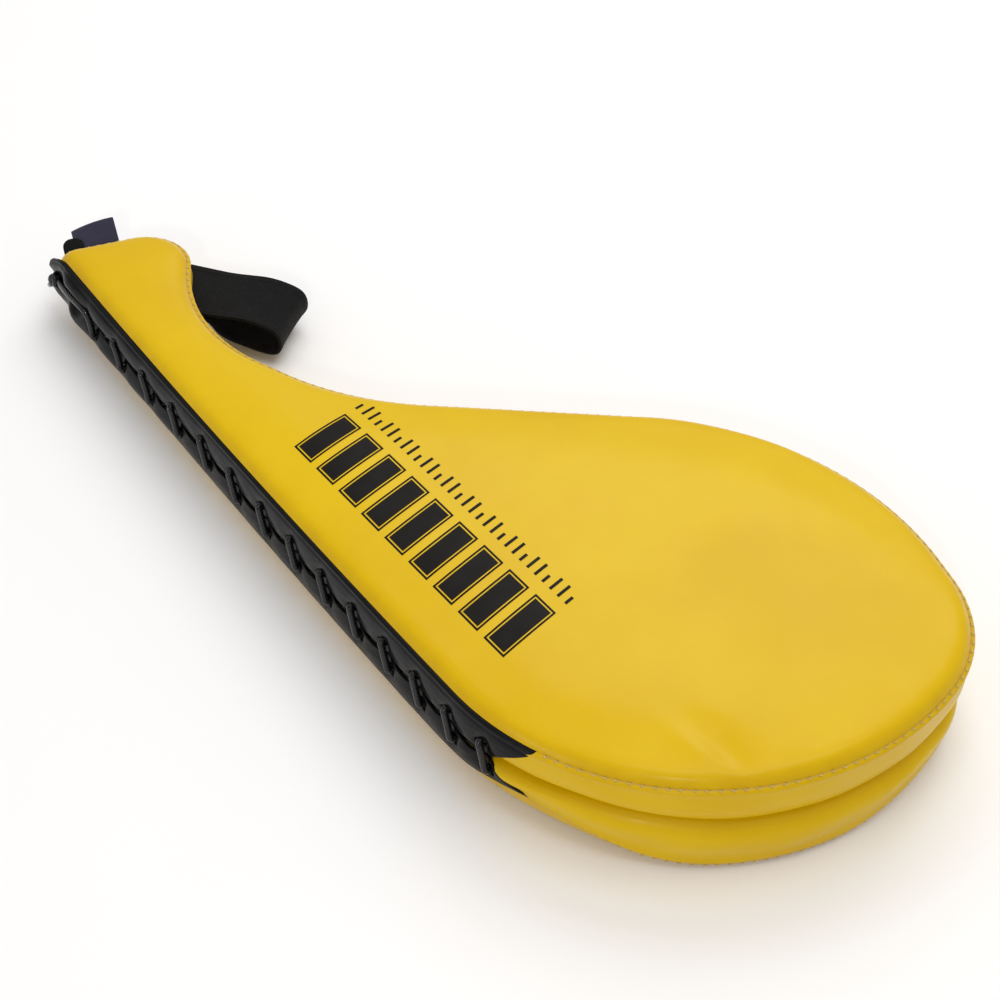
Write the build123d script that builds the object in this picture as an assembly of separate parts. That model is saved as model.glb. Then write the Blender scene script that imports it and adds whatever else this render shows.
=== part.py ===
from build123d import *
import math
import os

# Two-leaf hand-held kicking target, lying flat. Millimetres.
# +X runs from the handle end to the head, -Y is the straight laced side,
# +Y is the side with the waisted grip and the hand loop, +Z is up.
# The origin is on the floor under the middle of the whole object.

# ---- plan outline of a leaf: corners, each rounded to its own radius ----
UPPER_HEAD = [((211.0, -116.2), 102.5), ((211.0, 48.5), 52.0)]     # laced side, far side
LOWER_HEAD = [((212.0, -116.5), 100.0), ((212.0, 47.9), 52.0)]     # a little longer
END_CORNER = (-200.8, 3.0)
KNOB_CORNER = (-169.5, 50.5)
CORNERS = [
    ((114.0, 106.5), 119.0),            # shoulder
    ((-43.5, 6.2), 121.0),              # waist, head side
    ((-122.2, 1.0), 77.0),              # waist, handle side
    (KNOB_CORNER, 20.5),                # knob at the handle end
    (END_CORNER, 6.0),                  # end of the laced side
    ((-43.7, -47.2), 5600.0),           # laced side, almost straight
]
MIDDLE = (-1.1, -0.85)          # of the whole object, moved to the origin at the end

# ---- heights at the handle end and at the head tip; faces slope between them ----
HANDLE_X = -189.0
HEAD_X = 211.0
FLOOR = (0.0, 0.0)
LOWER_INNER = (16.0, 24.2)      # gap face of the lower leaf
UPPER_INNER = (19.2, 24.8)      # gap face of the upper leaf
TOP = (35.4, 49.2)
MID = (17.6, 24.5)              # middle of the gap, where the strips meet
LOWER_SEAM = (4.4, 10.0)         # stitched seam between face panel and side
UPPER_SEAM = (31.6, 42.2)
LOWER_FOAM_SPLIT = (9.0, 14.0)
UPPER_FOAM_SPLIT = (26.6, 35.0)

# ---- covers, foam and stiffener ----
SKIN = 1.2
RIM_RADIUS = 3.0
STIFFENER_THICK = 2.0
STIFFENER_WIDTH = 9.0
STIFFENER_START = (-138.0, -2.0)
STIFFENER_END = (-12.0, -29.0)
STIFFENER_CLEARANCE = 0.2
THREAD_PROUD = 0.4
THREAD_HEIGHT = 0.7

# ---- laced side ----
STRIP_GAP = 0.6                 # from the middle of the gap to each strip's edge
CHANNEL_DEPTH = 6.2             # room behind the strips for the lace
CHANNEL_START_Y = 14.0
CHANNEL_END_X = 106.0
STRIP_START_Y = 6.0
ZONE_SLOPE = -0.22
FISHTAIL_NOTCH_X = 99.5
UPPER_TIP_X = 120.0
LOWER_TIP_X = 118.0
EAR_END_X = -211.0
EAR_ROOT_X = -181.0
EAR_ROOT_Y = -3.3
EAR_FLARE = -0.5                # degrees
EAR_HEIGHT = 8.5
EAR_THICK = 2.2
LACE_D = 2.6
HOLE_D = 3.8
CROSSINGS = 14
FIRST_CROSSING = 23.6
CROSSING_PITCH = 25.1           # at the handle end
CROSSING_EASE = 0.285           # the pitch shortens towards the head
CROSSING_SLANT = 4.2
UPPER_HOLE_RISE = 5.6
LOWER_HOLE_DROP = 5.2
LACE_CLEARANCE = 0.25
LACE_BEND_R = 1.7
KNOT_X = -199.0
KNOT_RING_R = 2.6
KNOT_CLEARANCE = 1.9            # the upper ear swings towards the knot as the leaves open

# ---- elastic hand loop ----
LOOP_DIRECTION = 20.0           # degrees from +X towards +Y
BAND_WIDTH = 29.0
BAND_THICK = 1.4
BAND_MIDDLE = 82.0              # centre of the band across its own direction
ROOT_REACH = -119.4             # along the band's direction
FOLD_REACH = -93.4
FOLD_RADIUS = 8.6
FOLD_HEIGHT = 12.4              # middle of the fold
ROOT_HEIGHT = 18.0
LOOP_START_REACH = ROOT_REACH + 2.4     # the loop swings from here
TAIL_END_REACH = ROOT_REACH + 1.6
TAIL_BACK_REACH = ROOT_REACH - 22
TAIL_THICK = 2.4
TAIL_SEWN_EDGE = [(-158.0, 22.0), (-156.0, -2.0), (-145.0, 2.0)]    # plan points under the upper leaf

# ---- label and hang tab at the handle end ----
END_DIRECTION = math.degrees(math.atan2(KNOB_CORNER[1] - END_CORNER[1], KNOB_CORNER[0] - END_CORNER[0]))
LABEL_ALONG = 18.3              # its middle, from the end of the laced side
LABEL_WIDTH = 18.5
LABEL_THICK = 1.0
LABEL_REACH = 22.0
LABEL_TILT = 26.0
TAB_ALONG = 8.5
TAB_WIDTH = 9.0
TAB_CORNER_R = 3.5
TAB_THICK = 1.8
TAB_REACH = 16.0
LABEL_SEW_DEPTH = 7.0
TAB_SEW_DEPTH = 4.0
END_CLEARANCE = 2.2             # from the leaf's end to where they rise

FAR = 400.0


def height(pair, x):
    """Height of a sloping level at x."""
    return pair[0] + (pair[1] - pair[0]) * (x - HANDLE_X) / (HEAD_X - HANDLE_X)


def level(pair, shift):
    return (pair[0] + shift, pair[1] + shift)


def slab(low, high):
    """Everything between two sloping levels."""
    side = Polyline(
        (-FAR, height(low, -FAR)),
        (FAR, height(low, FAR)),
        (FAR, height(high, FAR)),
        (-FAR, height(high, -FAR)),
        close=True,
    )
    face = make_face(Plane.XZ * side)
    return extrude(face, amount=FAR, both=True)


def column(plan):
    """A tall prism over a plan face."""
    return extrude(plan, amount=2 * TOP[1])


def single(shape):
    """The largest solid of a boolean result."""
    return max(shape.solids(), key=lambda solid: solid.volume)


# ---- plan shapes ----

def leaf_outline(head):
    corners = CORNERS + head
    points = [point for point, radius in corners]
    radii = [radius for point, radius in corners]
    return FilletPolyline(*points, radius=radii, close=True)


def laced_path(head):
    """The laced side and the turn of the head, from the handle's end corner."""
    edges = leaf_outline(head).edges()
    return Wire([edge for edge in edges if edge.center().Y < END_CORNER[1] - 5])


UPPER_PATH = laced_path(UPPER_HEAD)
LOWER_PATH = laced_path(LOWER_HEAD)


def laced_zone(end_x, start_y):
    """Plan area along the laced side, below a sloping line, from the handle end to end_x."""
    start_x = HANDLE_X - 20
    end_y = start_y + ZONE_SLOPE * (end_x - start_x)
    corners = Polyline((start_x, start_y), (end_x, end_y), (end_x, -FAR), (start_x, -FAR), close=True)
    return make_face(corners)


class LeafPlan:
    """Plan shapes of one leaf: its whole area, inside its skin, and without the lace channel."""

    def __init__(self, head):
        self.whole = make_face(leaf_outline(head))
        self.inside = offset(self.whole, amount=-SKIN, kind=Kind.INTERSECTION)
        ring = self.whole - offset(self.whole, amount=-CHANNEL_DEPTH, kind=Kind.INTERSECTION)
        channel = ring & laced_zone(CHANNEL_END_X, CHANNEL_START_Y)
        self.filling = (self.inside - channel).faces().sort_by(SortBy.AREA)[-1]


# ---- one leaf ----

def leaf_envelope(plan, outer, inner, rim):
    """A leaf-shaped block whose outer rim is rounded. outer and inner are levels."""
    low, high = (outer, inner) if outer[1] < inner[1] else (inner, outer)
    block = single(column(plan) & slab(low, high))
    outer_face = block.faces().sort_by(Axis.Z)[0 if outer[1] < inner[1] else -1]
    return fillet(outer_face.outer_wire().edges(), rim)


def cover(plan, outer, inner):
    """The skin of one leaf, hollow, open towards the gap."""
    inward = SKIN if outer[1] < inner[1] else -SKIN
    outside = leaf_envelope(plan.whole, outer, inner, RIM_RADIUS)
    inside = leaf_envelope(plan.inside, level(outer, inward), inner, RIM_RADIUS - SKIN)
    return outside, inside


def ordered(first, second):
    return (first, second) if first[1] < second[1] else (second, first)


def stiffener():
    dx = STIFFENER_END[0] - STIFFENER_START[0]
    dy = STIFFENER_END[1] - STIFFENER_START[1]
    middle = ((STIFFENER_START[0] + STIFFENER_END[0]) / 2, (STIFFENER_START[1] + STIFFENER_END[1]) / 2)
    place = Location((middle[0], middle[1], 0), (0, 0, math.degrees(math.atan2(dy, dx))))
    return place * SlotOverall(math.hypot(dx, dy) + STIFFENER_WIDTH, STIFFENER_WIDTH)


def crossing(number):
    """Distance along the laced side of a crossing's upper hole."""
    return FIRST_CROSSING + number * CROSSING_PITCH - number ** 2 * CROSSING_EASE


def lace_holes(path, places, rise):
    """Drills across the laced wall."""
    drills = []
    for along in places:
        point, outward = laced_point(path, along)
        spot = (point.X, point.Y, height(MID, point.X) + rise)
        drills.append(Plane(origin=spot, z_dir=(outward.X, outward.Y, 0)) * Cylinder(HOLE_D / 2, 6 * SKIN))
    return Compound(children=drills)


def laced_point(path, along):
    """A point on the laced side and the direction away from the leaf."""
    forward = (path @ 0).X < (path @ 1).X
    place = along if forward else path.length - along
    point = path.position_at(place, PositionMode.LENGTH)
    tangent = path.tangent_at(place, PositionMode.LENGTH)
    turned = Vector(tangent.Y, -tangent.X, 0)
    return point, turned if forward else -turned


def fishtail(seam, tip_x, edge):
    """Side view of a strip: from the seam's tip back to the notch at the gap."""
    outline = Polyline(
        (-FAR, height(edge, -FAR)),
        (FISHTAIL_NOTCH_X, height(edge, FISHTAIL_NOTCH_X)),
        (tip_x, height(seam, tip_x)),
        (-FAR, height(seam, -FAR)),
        close=True,
    )
    return extrude(make_face(Plane.XZ * outline), amount=FAR, both=True)


def ear(edge, direction):
    """The folded end of a strip, past the handle's end."""
    low = height(edge, HANDLE_X) + (0 if direction > 0 else -EAR_HEIGHT)
    block = Box(EAR_ROOT_X - EAR_END_X, EAR_THICK, EAR_HEIGHT, align=(Align.MAX, Align.MIN, Align.MIN))
    block = fillet(block.edges().filter_by(Axis.Y).group_by(Axis.X)[0], EAR_HEIGHT / 3)
    return Location((EAR_ROOT_X, EAR_ROOT_Y, low), (0, 0, -EAR_FLARE)) * block


def build_leaf(name, plan, outer, inner, seam, foam_split, strip_edge, tip_x, holes):
    outside, inside = cover(plan, outer, inner)
    shell = outside - inside
    zone = laced_zone(UPPER_TIP_X + 20, STRIP_START_Y)
    parts = {}

    parts["face_panel"] = single(shell & slab(*ordered(outer, seam)))

    wall = shell & slab(*ordered(seam, inner))
    strip_side = column(zone) & fishtail(seam, tip_x, strip_edge)
    past_gap = level(strip_edge, -FAR if outer[1] > inner[1] else FAR)
    notch_zone = column(zone) & fishtail(seam, tip_x, past_gap)
    parts["gusset"] = single(wall - column(laced_zone(FISHTAIL_NOTCH_X, STRIP_START_Y)) - notch_zone - strip_side)

    tall_wall = column(plan.whole - plan.inside) & slab(*ordered(seam, strip_edge))
    strip = single(tall_wall & strip_side)
    strip = strip + ear(strip_edge, 1 if outer[1] > inner[1] else -1)
    parts["lace_strip"] = single(strip - holes)

    inward = SKIN if outer[1] > inner[1] else -SKIN
    parts["inner_panel"] = single(column(plan.filling) & slab(*ordered(inner, level(inner, inward))))

    filling = single(inside & column(plan.filling) & slab(*ordered(outer, level(inner, inward))))
    core = stiffener()
    to_gap = -1 if outer[1] > inner[1] else 1
    core_top = level(foam_split, to_gap * STIFFENER_THICK)
    pocket_plan = offset(core, amount=STIFFENER_CLEARANCE)
    pocket_top = level(core_top, to_gap * STIFFENER_CLEARANCE)
    parts["impact_foam"] = single(filling & slab(*ordered(outer, foam_split)))
    backing = single(filling & slab(*ordered(foam_split, inner)))
    parts["backing_foam"] = single(backing - (column(pocket_plan) & slab(*ordered(foam_split, pocket_top))))
    parts["handle_stiffener"] = single(column(core) & slab(*ordered(foam_split, core_top)))

    band = offset(plan.whole, amount=THREAD_PROUD, kind=Kind.ARC) - plan.whole
    thread = column(band) & slab(level(seam, -THREAD_HEIGHT / 2), level(seam, THREAD_HEIGHT / 2))
    parts["seam_thread"] = single(thread - column(laced_zone(UPPER_TIP_X, STRIP_START_Y)))
    return {name + "_" + key: shape for key, shape in parts.items()}


# ---- lace ----

def lace_spot(path, along, reach, rise):
    """A point beside the laced side: reach is positive outside the strips."""
    point, outward = laced_point(path, along)
    return (
        point.X + outward.X * reach,
        point.Y + outward.Y * reach,
        height(MID, point.X) + rise,
    )


def lace_route():
    """Whip lacing: down outside the strips, then up behind them to the next hole."""
    inside = -(SKIN + LACE_D / 2 + LACE_CLEARANCE)
    outside = LACE_D / 2 + LACE_CLEARANCE
    start_x = KNOT_X + KNOT_RING_R + LACE_D / 2 + LACE_CLEARANCE
    points = [(start_x, EAR_ROOT_Y - LACE_D / 2 - KNOT_CLEARANCE, height(MID, KNOT_X))]
    for number in range(CROSSINGS):
        upper = crossing(number)
        lower = upper + CROSSING_SLANT
        if number > 0:
            points.append(lace_spot(UPPER_PATH, upper, inside, UPPER_HOLE_RISE))
        points.append(lace_spot(UPPER_PATH, upper, outside, UPPER_HOLE_RISE))
        points.append(lace_spot(LOWER_PATH, lower, outside, -LOWER_HOLE_DROP))
        points.append(lace_spot(LOWER_PATH, lower, inside, -LOWER_HOLE_DROP))
    points.append(lace_spot(UPPER_PATH, lower - 2 * LACE_D, inside, 0))
    return points


def lace():
    path = FilletPolyline(*lace_route(), radius=LACE_BEND_R)
    section = Plane(origin=path @ 0, z_dir=path % 0) * Circle(LACE_D / 2)
    tube = sweep(section, path=path)
    print("lace", round(path.length), "mm long, volume ratio",
          round(tube.volume / (math.pi * LACE_D ** 2 / 4 * path.length), 3))
    return tube


def lace_knot():
    """Stopper knot outside the strips' ears."""
    place = Location((KNOT_X, EAR_ROOT_Y - LACE_D / 2 - KNOT_CLEARANCE, height(MID, KNOT_X)))
    ring = place * Rotation(90, 0, 0) * Torus(KNOT_RING_R, LACE_D / 2)
    hub = place * Rotation(90, 0, 0) * Cylinder(KNOT_RING_R, LACE_D * 0.7)
    return single(ring + hub)


# ---- hand loop ----

def band_plane():
    angle = math.radians(LOOP_DIRECTION)
    return Plane(
        origin=(0, 0, 0),
        x_dir=(math.cos(angle), math.sin(angle), 0),
        z_dir=(math.sin(angle), -math.cos(angle), 0),
    )


def teardrop(radius, root):
    """A fold of the given radius, drawn in to a point at the root."""
    centre = (FOLD_REACH, FOLD_HEIGHT)
    lean = math.hypot(root[0] - centre[0], root[1] - centre[1])
    to_root = math.atan2(root[1] - centre[1], root[0] - centre[0])
    spread = math.acos(radius / lean)
    upper = to_root - spread
    lower = to_root + spread
    first = (centre[0] + radius * math.cos(upper), centre[1] + radius * math.sin(upper))
    last = (centre[0] + radius * math.cos(lower), centre[1] + radius * math.sin(lower))
    tip = (centre[0] - radius * math.cos(to_root), centre[1] - radius * math.sin(to_root))
    fold = ThreePointArc(first, tip, last)
    return make_face([fold, Line(last, root), Line(root, first)])


def hand_loop():
    root = (ROOT_REACH, ROOT_HEIGHT)
    inner_root = (ROOT_REACH + 6 * BAND_THICK, ROOT_HEIGHT - 1.4)
    profile = teardrop(FOLD_RADIUS, root) - teardrop(FOLD_RADIUS - BAND_THICK, inner_root)
    profile = profile & Pos(LOOP_START_REACH + FAR / 2, 0) * Rectangle(FAR, FAR)
    solid = extrude(band_plane() * profile, amount=BAND_WIDTH / 2, both=True)
    angle = math.radians(LOOP_DIRECTION)
    return single(Pos(-BAND_MIDDLE * math.sin(angle), BAND_MIDDLE * math.cos(angle), 0) * solid)


def band_point(reach, across):
    """A plan point from the distance along the band and across it."""
    angle = math.radians(LOOP_DIRECTION)
    return (
        reach * math.cos(angle) - across * math.sin(angle),
        reach * math.sin(angle) + across * math.cos(angle),
    )


def hand_loop_tail():
    """The two sewn ends of the elastic, flat on the lower leaf's gap face."""
    near = BAND_MIDDLE - BAND_WIDTH / 2
    far = BAND_MIDDLE + BAND_WIDTH / 2
    plan = make_face(Polyline(
        band_point(TAIL_END_REACH, near),
        band_point(TAIL_END_REACH, far),
        band_point(TAIL_BACK_REACH, far),
        *TAIL_SEWN_EDGE,
        close=True,
    ))
    return single(column(plan) & slab(LOWER_INNER, level(LOWER_INNER, TAIL_THICK)))


# ---- label and hang tab ----

def end_strip(along, width, thick, depth, reach, drop):
    """A flat strip held under the upper leaf's gap face at the handle's end, rising outside it."""
    angle = math.radians(END_DIRECTION)
    corner = Vector(*END_CORNER)
    middle = corner + Vector(math.cos(angle), math.sin(angle)) * along
    frame = Plane(
        origin=(middle.X, middle.Y, height(UPPER_INNER, middle.X) - drop),
        x_dir=(-math.sin(angle), math.cos(angle), 0),
        z_dir=(math.cos(angle), math.sin(angle), 0),
    )
    rise = math.radians(LABEL_TILT)
    bend = END_CLEARANCE + drop
    tip = (bend + reach * math.cos(rise), reach * math.sin(rise))
    side = Polyline(
        (-depth, 0),
        (bend, 0),
        tip,
        (tip[0] + thick * math.sin(rise), tip[1] - thick * math.cos(rise)),
        (bend + thick * math.tan(rise / 2), -thick),
        (-depth, -thick),
        close=True,
    )
    return single(extrude(frame * make_face(side), amount=width / 2, both=True))


def woven_label():
    return end_strip(LABEL_ALONG, LABEL_WIDTH, LABEL_THICK, LABEL_SEW_DEPTH, LABEL_REACH, 0.1)


def hang_tab():
    drop = LABEL_THICK + 0.2
    strip = end_strip(TAB_ALONG, TAB_WIDTH, TAB_THICK, TAB_SEW_DEPTH, TAB_REACH, drop)
    tip = strip.faces().sort_by(Axis.Z)[-1]
    corners = tip.edges().group_by(SortBy.LENGTH)[0]
    return fillet(corners, TAB_CORNER_R)


def build_all():
    nodes = {}
    upper_holes = [crossing(number) for number in range(1, CROSSINGS)]
    lower_holes = [crossing(number) + CROSSING_SLANT for number in range(CROSSINGS)]
    lower_holes = lace_holes(LOWER_PATH, lower_holes, -LOWER_HOLE_DROP)
    upper_holes = lace_holes(UPPER_PATH, upper_holes, UPPER_HOLE_RISE)
    nodes.update(build_leaf("lower", LeafPlan(LOWER_HEAD), FLOOR, LOWER_INNER, LOWER_SEAM, LOWER_FOAM_SPLIT,
                            level(MID, -STRIP_GAP), LOWER_TIP_X, lower_holes))
    nodes.update(build_leaf("upper", LeafPlan(UPPER_HEAD), TOP, UPPER_INNER, UPPER_SEAM, UPPER_FOAM_SPLIT,
                            level(MID, STRIP_GAP), UPPER_TIP_X, upper_holes))
    nodes["lace"] = lace()
    nodes["lace_knot"] = lace_knot()
    nodes["hand_loop"] = hand_loop()
    nodes["hand_loop_tail"] = hand_loop_tail()
    nodes["woven_label"] = woven_label()
    nodes["hang_tab"] = hang_tab()
    return nodes


os.makedirs("parts", exist_ok=True)
for node_name, node_shape in build_all().items():
    export_step(Pos(-MIDDLE[0], -MIDDLE[1], 0) * node_shape, "parts/" + node_name + ".step")
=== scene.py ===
import math

import bpy
import numpy as np
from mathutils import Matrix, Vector
from mathutils.bvhtree import BVHTree
from mathutils.geometry import delaunay_2d_cdt
from mathutils.interpolate import poly_3d_calc
from mathutils.kdtree import KDTree


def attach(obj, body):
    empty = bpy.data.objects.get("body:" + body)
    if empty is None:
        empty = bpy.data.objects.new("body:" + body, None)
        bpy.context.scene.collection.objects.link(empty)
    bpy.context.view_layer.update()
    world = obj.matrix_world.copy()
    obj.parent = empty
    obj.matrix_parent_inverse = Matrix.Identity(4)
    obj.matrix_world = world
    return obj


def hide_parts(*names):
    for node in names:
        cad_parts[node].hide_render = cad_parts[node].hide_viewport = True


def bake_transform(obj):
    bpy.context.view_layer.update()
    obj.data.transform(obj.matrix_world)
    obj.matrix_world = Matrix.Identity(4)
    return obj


# A two-leaf kicking target lying flat. Shapes are worked out in millimetres, in the
# frame's axes, and become metres where a mesh is made.
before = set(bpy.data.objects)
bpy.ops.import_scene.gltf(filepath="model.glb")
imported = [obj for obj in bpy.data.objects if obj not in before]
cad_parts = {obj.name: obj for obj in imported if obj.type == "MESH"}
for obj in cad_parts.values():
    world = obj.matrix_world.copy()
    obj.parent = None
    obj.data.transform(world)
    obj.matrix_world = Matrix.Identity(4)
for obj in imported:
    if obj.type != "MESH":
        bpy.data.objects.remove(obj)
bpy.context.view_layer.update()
MM = 0.001
random = np.random.default_rng(7)

# ---- plan outline of a leaf: corners, each rounded to its own radius ----
END_CORNER = (-200.8, 3.0)
KNOB_CORNER = (-169.5, 50.5)
CORNERS = [
    ((114.0, 106.5), 119.0),            # shoulder
    ((-43.5, 6.2), 121.0),              # waist, head side
    ((-122.2, 1.0), 77.0),              # waist, handle side
    (KNOB_CORNER, 20.5),                # knob at the handle end
    (END_CORNER, 6.0),                  # end of the laced side
]
LACED_SIDE = ((-43.7, -47.2), 5600.0)       # almost straight
UPPER_HEAD = [((211.0, -116.2), 102.5), ((211.0, 48.5), 52.0)]      # laced side, far side
LOWER_HEAD = [((212.0, -116.5), 100.0), ((208.5, 47.9), 53.0)]      # a little longer, leaning in
OUTLINE_STEP = 0.25
TANGENT_REACH = 0.6                 # the outline's direction is taken over this much to each side
LACED_LENGTH = 345.0                # x still grows along the outline for this long
MIDDLE = (-1.1, -0.85)                  # of the whole object, moved to the origin

# ---- heights at the handle end and at the head tip ----
HANDLE_X = -189.0
HEAD_X = 211.0
LOWER_INNER = (16.0, 24.2)
UPPER_INNER = (19.2, 24.8)
TOP = (36.6, 49.2)
FLOOR = (0.3, 0.3)
MID = (17.6, 24.5)
LOWER_SEAM = (4.4, 8.4)
SEAM_RISE = 7.6                     # the lower seam climbs to the strip's tip, then drops to the floor
SEAM_RISE_X = 117.0
SEAM_RISE_REACH = 25.0
SEAM_DROP_X = (128.0, 176.0)
SEAM_DROP = 6.4
LACED_Y = -60.0                     # anywhere on the laced side
SEAM_SHIFT_Y = (30.0, -30.0)        # the climb and the drop fade out towards the far side
UPPER_SEAM = (31.6, 42.2)

# ---- how the covers are sewn ----
SEAM_INSET = 1.0                    # the seam's valley, in from the outline
STITCH_PITCH = 4.1
STITCH_R = 0.30
STITCH_REACH = (-0.55, 0, 0.75)     # a stitch's three guide points: along the seam,
STITCH_OUT = (-0.55, -0.12, -0.35)  # out from the outline,
STITCH_SHARE = (1.012, 1.0, 0.975)  # and up the side
STITCH_SHIFT = 0.25                 # each lies up to this much off its place
SEAM_THREAD = (-0.75, 0.997, 0.12)  # out, share of the side's height, and radius
SEAM_START = 2.0                    # it starts after the strip's tip
SEAM_END = 1.5                      # and ends before the handle's end
RING_STEPS = (0, 0.5, 1.1, 1.8, 2.7, 3.8, 5.2, 7.0, 9.2)    # rows of points in from the seam
RING_PITCH = 1.6
PANEL_PITCH = 3.0
ROW_SLACK = 0.15                    # a row's points may lie this much too close to the outline
FIELD_START = 0.6                   # the even field starts this many pitches in from the last row
CROWN_EVEN = 0.9                    # how strongly the crown is evened out,
CROWN_EVEN_DEPTH = (5.0, 9.0)       # from and fully at these depths,
CROWN_ROUNDS = 24                   # and how many times
ROLL_SHARE = 0.52                   # part of the crown that the rolled edge takes
ROLL_REACH = 1.7
CROWN_REACH = 11.0
FLAT_ROLL_SHARE = 0.72              # the same for the side that lies on the floor
FLAT_CROWN_REACH = 7.0
FOAM_SINK = 1.6                     # the foam lies this far under the cover
FOAM_LIFT = 0.4
IMPACT_FOAM = (0.62, 1.0, 2.8)      # from and to these shares of the height, and in from the outline
BACKING_FOAM = (0.06, 0.58, 7.2)
INNER_INSET = 6.6                   # where the gap face meets the rolled side
GAP_DISH = 0.25
GAP_SAG = 4.0                       # the gap sags towards the head's tip
GAP_SAG_X = (150.0, 205.0)
GAP_RISE = 1.6                      # and rises where the round of the head starts
GAP_RISE_X = 135.0
GAP_RISE_REACH = 24.0
TIP_LEAN = 2.2                      # how far the upper side leans in at the head's tip
TIP_FACING = (0.45, 0.95)           # it starts to lean, and leans fully, where it faces +X this much
DIMPLE = np.array([161.0, -54.5])
DIMPLE_DIRECTION = np.array([0.99, -0.14])
DIMPLE_CREST = (1.1, 3.2, 9.0)      # height, reach across and reach along
DIMPLE_DENT = (1.6, 5.0, 12.0)
DENT_OFFSET = (6.0, 3.0)            # across and along, from the crest
GATHER = (0.10, 1.6)                # ripple at the stitches: height, and reach in from the seam
SLOW_GATHER = (0.16, 4.5)
SEAM_RIPPLE = 0.12
SIDE_WAVE = 0.35
END_TUCK = 2.2                      # the side cover turns in where it ends at the handle
END_TUCK_REACH = 5.0

# ---- laced side ----
FISHTAIL_NOTCH_X = 99.5
UPPER_TIP_X = 120.0
LOWER_TIP_X = 118.0
EAR_LENGTH = 14.0
EAR_START = 0.5                     # along the laced side, where the strip leaves the leaf
EAR_TURN = -12.0                    # degrees, out from the frame's -X
EAR_HEIGHT = 8.6
UPPER_SLOPE = (-1.0, -15.0)          # along: the strips' sewn edges slope in to the ears here
LOWER_SLOPE = (11.0, -13.0)
MOUTH_ALONG = 9.0                   # the strips stand apart before the first crossing
MOUTH_REACH = 7.0
MOUTH_GAP = 2.4
EAR_ROUND = 3.2                     # radius of the ears' corners
EAR_ROOT = 0.7
FREE_EDGE = 0.25                    # from the gap's middle to a strip's free edge, at a crossing
SWAG = 1.25                         # and how much farther midway between two
SWAG_OUT = 1.5
EDGE_IN = 0.9
STRIP_PROUD = 0.25
BELLY = 0.9
SEWN_IN = 1.3
SEWN_SHARE = 0.93                   # the strip turns in above this share of its height
TOPSTITCH = (0.35, 0.86, 0.035)     # a groove: depth, share of the height, and reach
LACE_BITE = 0.55
LACE_BITE_REACH = 0.09              # in crossings
WRINKLE = 0.14
LOWER_WRINKLE = 1.8                 # the lower strip wrinkles this much more
BULGE = 2.6                         # how far the strips stand out at the handle end
BULGE_REACH = 130.0
STRIP_THICK = 1.2
STRIP_PITCH = 0.8                   # of its mesh
STRIP_ROWS = 22
CROSSINGS = 14
FIRST_CROSSING = 23.6
CROSSING_PITCH = 25.1               # at the handle end
CROSSING_EASE = 0.285               # the pitch shortens towards the head
CROSSING_SLANT = 4.2
UPPER_HOLE_RISE = 5.6
LOWER_HOLE_DROP = 5.2
LACE_R = 1.3
HOLE_R = 1.9
HOLE_CUT = 0.72                     # points this close to a hole go, in hole radii
HOLE_RIM = 1.15                     # and those this close move to its edge
HOLE_DENT = 0.55
HOLE_DENT_REACH = 3.2
KNOT_ALONG = -9.0
KNOT_TURNS = ((0.6, 2.3), (-0.7, 2.1))      # how far each turn leans, in radians, and its radius


def height(pair, x):
    """Height of a sloping level at x."""
    return pair[0] + (pair[1] - pair[0]) * (x - HANDLE_X) / (HEAD_X - HANDLE_X)


def smooth(value):
    """0 below 0, 1 above 1, and a smooth rise between."""
    value = np.clip(value, 0, 1)
    return value * value * (3 - 2 * value)


def ramp(value, start, end):
    """0 before start, 1 after end, and a smooth rise between."""
    return smooth((value - start) / (end - start))


def bell(value, middle, reach):
    """1 in the middle, fading to both sides."""
    return np.exp(-((value - middle) / reach) ** 2)


def run_lengths(points):
    """The distance along a line of points to each of them."""
    return np.concatenate([[0], np.cumsum(np.linalg.norm(np.diff(points, axis=0), axis=1))])


# ---- the outline ----

def corner_arc(before, corner, after, radius):
    """Points along the arc that rounds one corner."""
    before, corner, after = (np.array(point, float) for point in (before, corner, after))
    back = (before - corner) / np.linalg.norm(before - corner)
    ahead = (after - corner) / np.linalg.norm(after - corner)
    half = math.acos(np.clip(back @ ahead, -1, 1)) / 2
    middle = (back + ahead) / np.linalg.norm(back + ahead)
    centre = corner + middle * radius / math.sin(half)
    first = corner + back * radius / math.tan(half) - centre
    last = corner + ahead * radius / math.tan(half) - centre
    turn = math.atan2(first[0] * last[1] - first[1] * last[0], first @ last)
    count = max(8, int(abs(turn) * radius / OUTLINE_STEP))
    angles = np.linspace(0, turn, count)
    cos, sin = np.cos(angles), np.sin(angles)
    return centre + np.stack([first[0] * cos - first[1] * sin, first[0] * sin + first[1] * cos], 1)


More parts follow.
